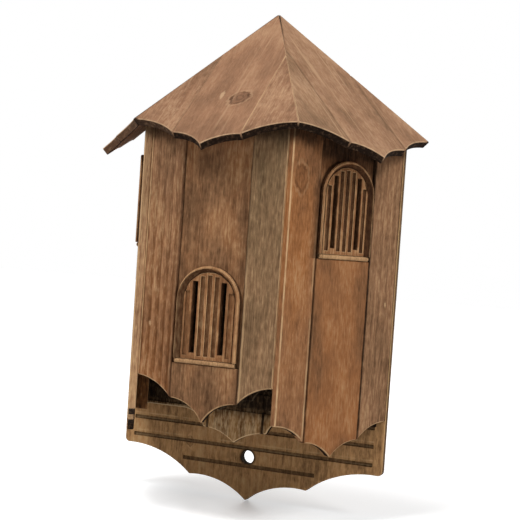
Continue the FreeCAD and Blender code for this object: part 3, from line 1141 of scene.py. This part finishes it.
    def marks(self, shape: EasedShape) -> dict[str, list[Any]]:
        """Work out everything that the finish reads from the board.

        Args:
            shape: The eased board.

        Returns:
            One value for each vertex in order, by the attribute's name; sides has one for
            each face corner.
        """
        points = [vert.co.copy() for vert in shape.mesh.verts]
        low, high, places = shape.low, shape.high, shape.places
        middle = (low + high) / 2
        shares = [(place.z - low.z) / (high.z - low.z) for place in places]
        foot, head = self.foot.vector(), (self.head or self.foot).vector()
        joints = {joint.side: joint for joint in self.joints}
        left, right = (joints.get(side, Joint(side, 0.0)) for side in BOTH)
        lip = Vector((left.lip, right.lip, 0))
        wear, char = self.arris_marks(shape)
        spans = self.spans(shape)
        log_place = self.log_place()
        knot_a, knot_b = (*self.knots, NOWHERE, NOWHERE)[:2]
        spots = {"knot_a": knot_a, "knot_b": knot_b, "chip": self.chip, "patch": self.patch,
                 "arch": self.arch}
        even = {"line": Vector((left.line, right.line, 0)), "patch_look": self.patch_look.vector(),
                "knot_depth": self.knot_depth, "brushed": self.brushed}
        marks = {name: [spot.seen_from(point, self.axes) for point in points] for name, spot in spots.items()}
        marks |= {name: [value] * len(points) for name, value in even.items()}
        return marks | {
            "grain": [place - middle + log_place for place in places],
            "look": [foot.lerp(head, share) for share in shares],
            "span": spans,
            "lip": [lip * (1.0 - share) for share in shares],
            "groove": [self.grooves.seen_from(point) for point in points],
            "arris": [self.joint_wear(*pair) for pair in zip(wear, spans)],
            "sides": self.side_marks(shape, char),
            "hollow": [self.hollow_char(place.y - low.y, place.x - middle.x) for place in places],
        }

    def build(self, material: bpy.types.Material) -> bpy.types.Object:
        """Build the board, write what its finish reads from it, and put it in the solid's place.

        Args:
            material: The board's finish.

        Returns:
            The new piece.
        """
        shape = self.eased()
        marks = self.marks(shape)
        mesh = bpy.data.meshes.new(self.node + "_wood")
        shape.mesh.to_mesh(mesh)
        shape.mesh.free()
        for name, values in marks.items():
            self.write(mesh, name, values, Domain.CORNER if name == "sides" else Domain.VERTEX)
        mesh.shade_smooth()
        mesh.set_sharp_from_angle(angle=self.sharp_seen)
        mesh.materials.append(material)
        piece = bpy.data.objects.new(self.node + "_board", mesh)
        bpy.context.scene.collection.objects.link(piece)
        normals = piece.modifiers.new("even_normals", "WEIGHTED_NORMAL")
        normals.keep_sharp = True
        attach(piece, BODY)
        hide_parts(self.node)
        return piece

    @staticmethod
    def write(mesh: bpy.types.Mesh, name: str, values: list[Any], domain: Domain) -> None:
        """Write a named attribute that the finish reads.

        Args:
            mesh: The mesh to write to.
            name: The attribute's name.
            values: One number or vector for each vertex or face corner, in order.
            domain: Which of the two has the values.
        """
        if isinstance(values[0], Vector):
            attribute = mesh.attributes.new(name, "FLOAT_VECTOR", domain.value)
            attribute.data.foreach_set("vector", [part for value in values for part in value])
        else:
            attribute = mesh.attributes.new(name, "FLOAT", domain.value)
            attribute.data.foreach_set("value", values)


# Sub-assemblies

class Wall(Enum):
    """A wall, and the roof slope over it, as the node names call them."""

    LEFT = "left"
    FRONT = "front"
    RIGHT = "right"


class Place(Enum):
    """An outer board's place in its wall, as the node names call it."""

    LEFT = "left"
    RIGHT = "right"
    FRONT = "front"
    WINDOW = "window"
    LOWER = "lower"
    REAR = "rear"


class SubAssembly:
    """Boards that are built together."""

    def boards(self) -> list[Board]:
        """Return the sub-assembly's boards, in building order."""
        raise NotImplementedError

    def build(self, materials: dict[Slot, bpy.types.Material]) -> list[bpy.types.Object]:
        """Build every board in the finish of its slot, and return the pieces."""
        return [board.build(materials[board.slot]) for board in self.boards()]


@dataclass(frozen=True)
class WindowLook:
    """What sets one window apart: its flutes' char, how far to the right its frame's painted shade is moved,
    its frame's stain.
    """

    flute_char: float
    painted_shade_side: float
    frame_stain: float
    flute_reach: float = FAR
    chip: Spot = NOWHERE


@dataclass
class Walls(SubAssembly):
    """The three walls and their windows, drawn from the front corners and the plate's edges."""

    corner_half: float = 66 * MM
    box_depth: float = 107 * MM
    window_centre: float = 60.5 * MM
    window_half: float = 28 * MM
    window_spring: float = 52.5 * MM
    frame_rim: float = 2.8 * MM
    # How much smaller the front window board's darkening outline is drawn, so less char and painted shade
    # gather round that window.
    front_arch_inset: float = 1.8 * MM
    arris: float = 1.15 * MM
    # Height above which the walls get painted shade, for the shade under the eaves.
    painted_shade_line: float = 275 * MM
    frame_arris: float = 0.35 * MM
    panel_arris: float = 0.45 * MM
    sill_arris: float = 0.5 * MM
    flute_pitch: float = 6.4 * MM
    flute_depth: float = 1.1 * MM
    flute_char_from: float = 0.4
    vent_pitches: int = 2
    sill_char_from: float = 3.0 * MM
    sill_char_to: float = 4.0 * MM
    moulding_log_depth: float = 30 * MM

    def axes(self, wall: Wall) -> Axes:
        """Work out the directions of a wall.

        Args:
            wall: The wall.

        Returns:
            The directions, with the one across running left to right from outside.
        """
        if wall is Wall.FRONT:
            return FACING_FRONT
        plate_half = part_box("back_plate")[1].x
        run = Vector((plate_half - self.corner_half, self.box_depth, 0)).normalized()
        if wall is Wall.RIGHT:
            return Axes(run, Vector((-run.y, run.x, 0)), UP)
        return Axes(Vector((run.x, -run.y, 0)), Vector((run.y, run.x, 0)), UP)

    def on_right_wall(self, along: float, height: float) -> Vector:
        """Find a point on the right wall's outer face.

        Args:
            along: How far it is from the wall's front corner.
            height: How high it is.

        Returns:
            The point.
        """
        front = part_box("back_plate")[0].y - self.box_depth
        run = self.axes(Wall.RIGHT).across
        return Vector((self.corner_half + run.x * along, front + run.y * along, height))

    def window_middle(self, wall: Wall) -> Vector:
        """Find the middle of the round head of a wall's window.

        Args:
            wall: The wall.

        Returns:
            The point, on the wall's outer face.
        """
        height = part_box(f"{wall.value}_window_sill")[0].z + self.window_spring
        if wall is Wall.FRONT:
            return Vector((0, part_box("front_window_board")[0].y, height))
        middle = self.on_right_wall(self.window_centre, height)
        return middle if wall is Wall.RIGHT else middle * MIRROR

    def looks(self) -> dict[str, tuple[Look, Look]]:
        """Give the looks of the outer boards.

        Returns:
            How each board looks at its foot and at its head, by its node.
        """
        return {
            "front_left_board": (Look(0.4, 0.17, 1.15), Look(-0.05, -0.02, 0.25)),
            "front_window_board": (Look(0.1, 0.2, 0.3), Look(0.0, 0.07, 0.45)),
            "front_lower_board": (Look(0.0, 0.22, 0.3), Look(-0.1, 0.22, 0.3)),
            "front_right_board": (Look(-0.5, 0.15, 0.3), Look(-0.7, 0.12, 0.3)),
            "right_front_board": (Look(0.3, 0.14, 0.35), Look(0.6, 0.3, 0.2)),
            # The right window board darkens towards its head: painted shade under the eave.
            "right_window_board": (Look(0.2, 0.1, 0.3), Look(0.3, 0.5, 0.3)),
            "right_lower_board": (Look(0.7, 0.1, 0.3), Look(0.6, 0.05, 0.15)),
            "right_rear_board": (Look(-0.1, 0.1, 0.3), Look(-0.1, 0.1, 0.25)),
            "left_front_board": (Look(0.1, -0.35, 0.2), Look(0.0, -0.35, 0.2)),
            "left_window_board": (Look(0.2, 0.15, 0.3), Look(0.1, 0.15, 0.4)),
            "left_lower_board": (Look(0.3, 0.1, 0.3), Look(0.2, 0.1, 0.3)),
            "left_rear_board": (Look(-0.1, 0.1, 0.4), Look(-0.2, 0.1, 0.3)),
        }

    def joints(self) -> dict[str, tuple[Joint, ...]]:
        """Give the joints of the outer boards; a front corner of a side wall is not one.

        Returns:
            The joints of each board, by its node.
        """
        left, right = BOTH
        front_window = (Joint(left, 0.4, 0.3), Joint(right, 0.5))
        left_window = (Joint(left, 0.8), Joint(right, 0.5, 0.3))
        return {
            "front_left_board": (Joint(left, 0.0, 0.0, 1.0), Joint(right, 0.45, 0.2)),
            "front_window_board": front_window,
            "front_lower_board": front_window,
            "front_right_board": (Joint(left, 0.5, 0.6), Joint(right, 0.2, 0.0, 0.8)),
            "right_front_board": (Joint(right, 0.85, 0.8),),
            # Its left joint line is drawn wide and dark, partly as painted shade from the eave.
            "right_window_board": (Joint(left, 1.6, 0.2), Joint(right, 0.9)),
            "right_lower_board": (Joint(left, 0.7, 0.2), Joint(right, 0.75)),
            "right_rear_board": (Joint(left, 0.9), Joint(right, 0.8)),
            "left_front_board": (Joint(left, 0.5, 0.5),),
            "left_window_board": left_window,
            "left_lower_board": left_window,
            "left_rear_board": (Joint(left, 0.8), Joint(right, 0.8)),
        }

    def own_marks(self) -> dict[str, dict[str, Any]]:
        """Give what sets single boards apart: their knots, chips, painted highlight, painted shade line,
        brushing and place in the log.

        Returns:
            The fields of Board that differ, by the board's node.
        """
        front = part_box("front_window_board")[0].y
        left_chip = Spot(Vector((-51.9 * MM, front, 119.1 * MM)), 1.2 * MM, 2.4 * MM)
        right_chip = Spot(self.on_right_wall(111.6 * MM, 146.3 * MM), 1.2 * MM, 2.4 * MM)
        knot = Spot(self.on_right_wall(9.8 * MM, 243.7 * MM), 6.5 * MM, 10.5 * MM)
        # A paler, warmer patch up the right front board by its corner: a painted highlight.
        painted_glow = Spot(self.on_right_wall(9 * MM, 186 * MM), 17 * MM, 68 * MM)
        return {
            "front_left_board": {"chip": left_chip, "log_aside": 80 * MM, "log_depth": 12 * MM},
            "front_right_board": {"log_aside": 60 * MM, "log_depth": 20 * MM},
            "front_window_board": {"log_aside": 0.0, "log_depth": 22 * MM},
            "front_lower_board": {"log_aside": 4 * MM, "log_depth": 26 * MM},
            "right_front_board": {"knots": (knot,), "knot_depth": 0.6, "patch": painted_glow,
                                  "patch_look": Look(0.4, -0.26, 0.0), "brushed": 0.8},
            # Its painted shade starts lower, for the deeper shade under the right eave.
            "right_window_board": {"painted_shade_line": 264 * MM},
            "right_lower_board": {"brushed": 0.65},
            "right_rear_board": {"chip": right_chip, "log_aside": 50 * MM, "log_depth": 20 * MM},
        }

    def outer_boards(self) -> list[Board]:
        """Lay out the boards of the three walls.

        Returns:
            The boards.
        """
        corners = {(Wall.RIGHT, Place.FRONT): Side.LEFT, (Wall.LEFT, Place.FRONT): Side.RIGHT}
        joints = self.joints()
        own_marks = self.own_marks()
        boards = []
        for node, (foot, head) in self.looks().items():
            wall_name, place_name = node.split("_")[:2]
            wall, place = Wall(wall_name), Place(place_name)
            slot = Slot.WINDOW if place in (Place.WINDOW, Place.LOWER) else Slot.WALL
            marks = {"painted_shade_line": self.painted_shade_line, "arris": self.arris} | own_marks.get(node, {})
            boards.append(Board(node, self.axes(wall), slot, foot, head, joints[node],
                                bare_rim=corners.get((wall, place)), arch=self.char_and_shade_arch(wall, place),
                                **marks))
        return boards

    def char_and_shade_arch(self, wall: Wall, place: Place) -> Arch:
        """Choose the outline that char and painted shade gather around on one board of a wall.

        Args:
            wall: The wall.
            place: The board's place in it.

        Returns:
            The window's outline on the boards that it darkens; on the front wall it is drawn smaller.
        """
        # Char and painted shade gather round the window on its own board, and painted shade on the front
        # board beside it.
        if place is Place.WINDOW:
            return self.window_arch(wall, self.front_arch_inset if wall is Wall.FRONT else 0.0)
        return self.window_arch(wall) if place is Place.FRONT else NO_ARCH

    def window_arch(self, wall: Wall, inset: float = 0.0, aside: float = 0.0) -> Arch:
        """Return a wall's window outline, moved in by an inset and to the right by aside."""
        middle = self.window_middle(wall) + self.axes(wall).across * aside
        return Arch(middle, self.window_half - inset, self.window_spring)

    def window_looks(self) -> dict[Wall, WindowLook]:
        """Give the looks of the three windows.

        Returns:
            The look of each wall's window.
        """
        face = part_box("front_window_panel")[0].y
        chip = Spot(Vector((-6.2 * MM, face, 121.3 * MM)), 2.2 * MM, 3.6 * MM)
        return {
            Wall.LEFT: WindowLook(0.75, -1.2 * MM, 0.25),
            Wall.FRONT: WindowLook(0.5, -1.8 * MM, -0.08, flute_reach=2.6 * self.flute_pitch, chip=chip),
            Wall.RIGHT: WindowLook(0.75, 1.2 * MM, 0.25),
        }

    def window(self, wall: Wall, look: WindowLook) -> list[Board]:
        """Lay out the frame, the panel and the sill of one window.

        Args:
            wall: The wall that it is in.
            look: What sets it apart.

        Returns:
            The three pieces.
        """
        axes = self.axes(wall)
        centre = self.window_middle(wall).dot(axes.across)
        vent_aside = self.vent_pitches * self.flute_pitch
        vents = (centre - vent_aside, centre + vent_aside)
        shared = {"axes": axes, "slot": Slot.MOULDING, "segments": 3, "log_depth": self.moulding_log_depth}
        return [
            # The frame's inner band is darkened inside an arch moved to one side: char, and painted shade on
            # its shaded side.
            Board(f"{wall.value}_window_frame", foot=Look(0.35, look.frame_stain, 0.3),
                  arris=self.frame_arris,
                  arch=self.window_arch(wall, self.frame_rim, look.painted_shade_side), **shared),
            Board(f"{wall.value}_window_panel", foot=Look(0.25, 0.0, 0.3), arris=self.panel_arris,
                  hollow=look.flute_char, hollow_from=self.flute_char_from * self.flute_depth,
                  hollow_to=self.flute_depth, hollow_half=look.flute_reach, vents=vents,
                  chip=look.chip, **shared),
            Board(f"{wall.value}_window_sill", foot=Look(-0.2, -0.4, 0.2), arris=self.sill_arris,
                  hollow_from=self.sill_char_from, hollow_to=self.sill_char_to, **shared),
        ]

    def boards(self) -> list[Board]:
        """Return every board and moulding of the walls."""
        windows = [self.window(wall, look) for wall, look in self.window_looks().items()]
        return self.outer_boards() + [board for window in windows for board in window]


@dataclass
class Roof(SubAssembly):
    """The three slopes, each of three boards whose grain runs up the slope."""

    half_width: float = 145 * MM
    front_half: float = 72.5 * MM
    depth: float = 121 * MM
    wall_gap: float = 3 * MM
    eave_z: float = 285.6 * MM
    apex_z: float = 396 * MM
    log_depth: float = 50 * MM

    def apex(self) -> Vector:
        """Return the roof's highest point."""
        return Vector((0, -self.wall_gap, self.apex_z))

    def corners(self, slope: Wall) -> tuple[Vector, Vector]:
        """Find the ends of a slope's eave.

        Args:
            slope: The wall that it is over.

        Returns:
            The ends, left to right from outside.
        """
        front = Vector((self.front_half, -self.wall_gap - self.depth, self.eave_z))
        rear = Vector((self.half_width, -self.wall_gap, self.eave_z))
        ends = {
            Wall.LEFT: (rear * MIRROR, front * MIRROR),
            Wall.FRONT: (front * MIRROR, front),
            Wall.RIGHT: (front, rear),
        }
        return ends[slope]

    def axes(self, slope: Wall) -> Axes:
        """Work out the directions of a slope.

        Args:
            slope: The wall that it is over.

        Returns:
            The directions along its eave, inward, and up the slope.
        """
        start, end = self.corners(slope)
        across = (end - start).normalized()
        outward = across.cross(self.apex() - start).normalized()
        return Axes(across, -outward, outward.cross(across))

    def on_front(self, along: float, up: float) -> Vector:
        """Return a point on the front slope, from its left end and up from the eave."""
        axes = self.axes(Wall.FRONT)
        return self.corners(Wall.FRONT)[0] + axes.across * along + axes.along * up

    def joints(self) -> dict[str, tuple[Joint, ...]]:
        """Give the joints of the roof boards; a hip is not one.

        Returns:
            The joints of each board, by its node.
        """
        left, right = BOTH
        joints = {
            "front_roof_left_board": (Joint(right, 0.15, 0.0, 0.3),),
            "front_roof_middle_board": (Joint(left, 0.15, 0.0, 0.4), Joint(right, 0.0, 0.0, 0.9)),
            "front_roof_right_board": (Joint(left, 0.0, 0.0, 0.9),),
        }
        rows = {"left": ("rear", "middle", "front"), "right": ("front", "middle", "rear")}
        for slope, places in rows.items():
            for place, sides in zip(places, ((right,), BOTH, (left,))):
                joints[f"{slope}_roof_{place}_board"] = tuple(Joint(side, 0.3, 0.0, 0.1) for side in sides)
        return joints

    def looks(self) -> dict[str, Look]:
        """Give the looks of the roof boards.

        Returns:
            The look of each board, by its node.
        """
        return {
            "front_roof_left_board": Look(0.0, 0.03, 0.6),
            "front_roof_middle_board": Look(0.15, 0.08, 0.15),
            "front_roof_right_board": Look(0.0, 0.05, 0.3),
            "right_roof_front_board": Look(-0.45, -0.02, 0.35),
            "right_roof_middle_board": Look(-0.15, -0.05, 0.35),
            "right_roof_rear_board": Look(0.0, -0.08, 0.4),
            "left_roof_front_board": Look(0.0, 0.05, 0.3),
            "left_roof_middle_board": Look(0.1, 0.05, 0.4),
            "left_roof_rear_board": Look(0.0, 0.1, 0.3),
        }

    def own_marks(self) -> dict[str, dict[str, Any]]:
        """Give what sets single boards apart: their knot, chip, patch and rims.

        Returns:
            The fields of Board that differ, by the board's node.
        """
        knot = Spot(self.on_front(83 * MM, 31.5 * MM), 7.0 * MM, 9.5 * MM, math.radians(35))
        smudge = Spot(self.on_front(85 * MM, 29 * MM), 11 * MM, 13 * MM)
        fleck = Spot(self.on_front(66.5 * MM, 35 * MM), 2.0 * MM, 6 * MM)
        marks = {f"left_roof_{place}_board": {"rim_share": 0.6} for place in ("front", "middle", "rear")}
        return marks | {
            "front_roof_left_board": {"rim_share": 0.85, "brushed": 1.3},
            "front_roof_middle_board": {"knots": (knot,), "knot_depth": 0.8, "chip": fleck, "brushed": 0.7,
                                        "patch": smudge, "patch_look": Look(-0.2, 0.24, 0.0)},
            "front_roof_right_board": {"brushed": 1.4},
        }

    def boards(self) -> list[Board]:
        """Lay out the nine roof boards.

        Returns:
            The boards. The lines up to the apex from the left slope's corners and the right
            slope's rear one stay burnt.
        """
        unbrushed = (*self.corners(Wall.LEFT), self.corners(Wall.RIGHT)[1])
        burnt_lines = tuple((corner, self.apex()) for corner in unbrushed)
        joints = self.joints()
        own_marks = self.own_marks()
        return [Board(node, self.axes(Wall(node.split("_")[0])), Slot.ROOF, look, None, joints[node],
                      log_depth=self.log_depth, burnt_lines=burnt_lines, **own_marks.get(node, {}))
                for node, look in self.looks().items()]


@dataclass
class BackPlate(SubAssembly):
    """The grooved back plate with its keyhole hanger."""

    groove_depth: float = 1.5 * MM
    arris: float = 0.8 * MM
    hole_radius: float = 6 * MM
    grooves: Grooves = Grooves(116 * MM, 8 * MM, 3.5 * MM, 16 * MM)

    def boards(self) -> list[Board]:
        """Lay out the plate.

        Returns:
            The plate, as the only board.
        """
        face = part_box("back_plate")[0].y
        knot = Spot(Vector((-58 * MM, face, 7.3 * MM)), 3.5 * MM, 5 * MM)
        # A darker, greyer patch over the plate's lower right: painted shade.
        shaded = Spot(Vector((118 * MM, face, 0)), 52 * MM, 90 * MM)
        # Char and painted shade round the hole.
        hole = Arch(Vector((0, face, 0)), self.hole_radius)
        return [Board("back_plate", FACING_FRONT, Slot.PLATE, Look(0.1, 0.0, 0.3), Look(0.0, 0.0, 0.3),
                      arris=self.arris, outline_only=True, hollow=0.65,
                      hollow_from=GROOVE_CHAR[0] * self.groove_depth,
                      hollow_to=GROOVE_CHAR[1] * self.groove_depth, grooves=self.grooves, arch=hole,
                      knots=(knot,), knot_depth=0.5, patch=shaded, patch_look=Look(-0.1, 0.2, 0.0),
                      log_aside=90 * MM, log_depth=60 * MM)]

    def build(self, materials: dict[Slot, bpy.types.Material]) -> list[bpy.types.Object]:
        """Build the plate and dress its steel.

        Args:
            materials: The material of each slot.

        Returns:
            The plate's board, and the solids of the hanger and its screws.
        """
        pieces = super().build(materials)
        for node, finish in STEELS.items():
            steel = finish.material()
            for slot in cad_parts[node].material_slots:
                slot.material = steel
            pieces.append(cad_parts[node])
        return pieces


@dataclass
class Inside(SubAssembly):
    """The partitions, cleats, spacers and glue blocks."""

    groove_depth: float = 1.5 * MM
    # Height above which the partitions get painted shade.
    painted_shade_line: float = 46 * MM
    arris: float = 1.3 * MM
    partitions: tuple[str, ...] = ("rear_partition", "front_partition")
    battens: tuple[str, ...] = (
        "rear_spacer_left", "rear_spacer_right", "front_spacer_left", "front_spacer_right",
        "left_corner_block", "right_corner_block",
    )

    def partition(self, name: str) -> list[Board]:
        """Lay out one partition.

        Args:
            name: What its nodes start with.

        Returns:
            Its three upright boards, and the level cleat across them.
        """
        left, right = Joint(Side.LEFT, 0.8), Joint(Side.RIGHT, 0.8)
        rows = {"left": (right,), "centre": (left, right), "right": (left,)}
        # Each partition board is paler at its foot and darker at its head, and gets painted shade above the
        # painted shade line: painted shade deep inside the box.
        boards = [
            Board(f"{name}_{place}", FACING_FRONT, Slot.INNER, Look(0.1, -0.15, 0.8), Look(0.1, 0.3, 0.4),
                  joints, arris=self.arris, outline_only=True, painted_shade_line=self.painted_shade_line,
                  hollow_from=GROOVE_CHAR[0] * self.groove_depth,
                  hollow_to=GROOVE_CHAR[1] * self.groove_depth)
            for place, joints in rows.items()
        ]
        level = Axes(-UP, FACING_FRONT.inward, FACING_FRONT.across)
        return boards + [Board(f"{name}_cleat", level, Slot.INNER)]

    def boards(self) -> list[Board]:
        """Lay out the partitions, then the battens and blocks.

        Returns:
            The inner pieces.
        """
        boards = [board for name in self.partitions for board in self.partition(name)]
        # The battens and blocks are darkened: painted shade in the pockets where they stand.
        look = Look(0.7, 0.6, 0.2)
        return boards + [Board(node, FACING_FRONT, Slot.INNER, look, wear=0.15) for node in self.battens]


# Studio

@dataclass(frozen=True)
class Lamp:
    """A soft square lamp: where it stands, its side in metres and its power in watts."""

    name: str
    place: tuple[float, float, float]
    size: float
    power: float

    def build(self, aim: Vector) -> bpy.types.Object:
        """Make the lamp and turn it to a point.

        Args:
            aim: The point that it faces.

        Returns:
            The lamp.
        """
        data = bpy.data.lights.new(self.name, "AREA")
        data.size = self.size
        data.energy = self.power
        lamp = bpy.data.objects.new(self.name, data)
        turn = (aim - Vector(self.place)).to_track_quat("-Z", "Y").to_matrix().to_4x4()
        lamp.matrix_world = Matrix.Translation(self.place) @ turn
        bpy.context.scene.collection.objects.link(lamp)
        return lamp


@dataclass
class Studio:
    """A plain pale floor, soft lights, and the camera at the photograph's view."""

    camera_place: Vector = field(default_factory=lambda: Vector((394.3, -951.7, 180.4)) * MM)
    camera_forward: Vector = field(default_factory=lambda: Vector((-0.3841, 0.9228, -0.0295)))
    camera_right: Vector = field(default_factory=lambda: Vector((0.9203, 0.3853, 0.0676)))
    camera_range: tuple[float, float] = (0.01, 50.0)
    focal_pixels: float = 1148.6
    image_pixels: float = 520.0
    centre_below: float = 30.0
    sensor: float = 36.0
    floor_gap: float = 0.5 * MM
    floor_half: float = 6.0
    floor_roughness: float = 0.3
    floor_seen: Colour = (0.86, 0.86, 0.86)
    floor_bounced: Colour = (0.44, 0.44, 0.44)
    # The floor's glow for the camera rises from the first strength to the second between these distances from
    # its middle, so it is dimmer near the box: a painted shade round it.
    shaded_glow_distance: Ends = (0.2, 0.9)
    shaded_glow_strength: Ends = (0.3, 0.55)
    surroundings: float = 0.25
    aim: tuple[float, float, float] = (0, -60 * MM, 180 * MM)
    lamps: tuple[Lamp, ...] = (
        Lamp("left", (-0.52, -1.17, 1.4), 0.6, 13.5),
        Lamp("right", (1.25, -0.47, 1.3), 0.6, 12.5),
    )
    floor_lamp: Lamp = Lamp("floor", (-0.4, -0.75, 2.3), 0.8, 42.0)

    def camera(self) -> None:
        """Make the camera at the photograph's view."""
        data = bpy.data.cameras.new("view")
        data.sensor_width = self.sensor
        data.lens = self.focal_pixels / self.image_pixels * self.sensor
        data.shift_y = self.centre_below / self.image_pixels
        data.clip_start, data.clip_end = self.camera_range
        forward = self.camera_forward.normalized()
        right = (self.camera_right - forward * self.camera_right.dot(forward)).normalized()
        turn = Matrix((right, right.cross(forward), -forward)).transposed().to_4x4()
        camera = bpy.data.objects.new("view", data)
        camera.matrix_world = Matrix.Translation(self.camera_place) @ turn
        bpy.context.scene.collection.objects.link(camera)
        bpy.context.scene.camera = camera

    def world(self) -> None:
        """Make a soft surrounding light that shows white behind the box."""
        world = bpy.data.worlds.new("studio")
        bpy.context.scene.world = world
        tree = Tree(emptied(world))
        path = tree.add("LightPath").outputs
        seen = tree.largest(path["Is Camera Ray"], path["Is Glossy Ray"], path["Is Transmission Ray"])
        strength = tree.total(self.surroundings, tree.product(seen, 1.0 - self.surroundings))
        sky = tree.add("Background", {"Color": (1, 1, 1), "Strength": strength})
        tree.add("OutputWorld", {"Surface": sky.outputs[0]})

    def floor_material(self) -> bpy.types.Material:
        """Build the floor's material, which only the camera sees as pale and glowing, and which glows less
        near the box: a painted shade.

        Returns:
            The material.
        """
        material = bpy.data.materials.new("pale_floor")
        tree = Tree(emptied(material))
        to_camera = tree.add("LightPath").outputs["Is Camera Ray"]
        distance = tree.length(tree.add("TexCoord").outputs["Object"])
        painted_glow = tree.product(to_camera, tree.remap(distance, *self.shaded_glow_distance, *self.shaded_glow_strength))
        tree.surface({
            "Base Color": tree.mix(to_camera, self.floor_bounced, self.floor_seen),
            "Roughness": self.floor_roughness,
            "Emission Color": tree.mix(painted_glow, (0, 0, 0), (1, 1, 1)),
            "Emission Strength": 1.0,
        })
        return material

    def floor(self) -> bpy.types.Object:
        """Make a wide pale floor just under the plate's tip.

        Returns:
            The floor.
        """
        mesh = bpy.data.meshes.new("floor")
        half = self.floor_half
        corners = [(-half, -half, 0), (half, -half, 0), (half, half, 0), (-half, half, 0)]
        mesh.from_pydata(corners, [], [(0, 1, 2, 3)])
        mesh.materials.append(self.floor_material())
        floor = bpy.data.objects.new("floor", mesh)
        floor.location.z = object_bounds()[0].z - self.floor_gap
        bpy.context.scene.collection.objects.link(floor)
        floor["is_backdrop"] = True
        return floor

    def build(self) -> None:
        """Build the studio; the last lamp lights the floor alone."""
        bpy.context.scene.view_settings.view_transform = "Standard"
        self.camera()
        self.world()
        floor = self.floor()
        aim = Vector(self.aim)
        for lamp in self.lamps:
            lamp.build(aim)
        lit = bpy.data.collections.new("lit_by_floor_lamp")
        lit.objects.link(floor)
        self.floor_lamp.build(aim).light_linking.receiver_collection = lit


def main() -> None:
    """Build and report every piece, then build the studio."""
    logging.basicConfig(level=logging.INFO, format="%(name)s %(message)s")
    groups = SharedGroups()
    materials = {slot: finish.material(groups) for slot, finish in WOODS.items()}
    for assembly in (BackPlate(), Inside(), Walls(), Roof()):
        for piece in assembly.build(materials):
            log.info("%s: %s, %d faces", type(assembly).__name__, piece.name, len(piece.data.polygons))
    Studio().build()
    log.info("studio: floor, world, lamps and camera")


if __name__ == "__main__":
    main()
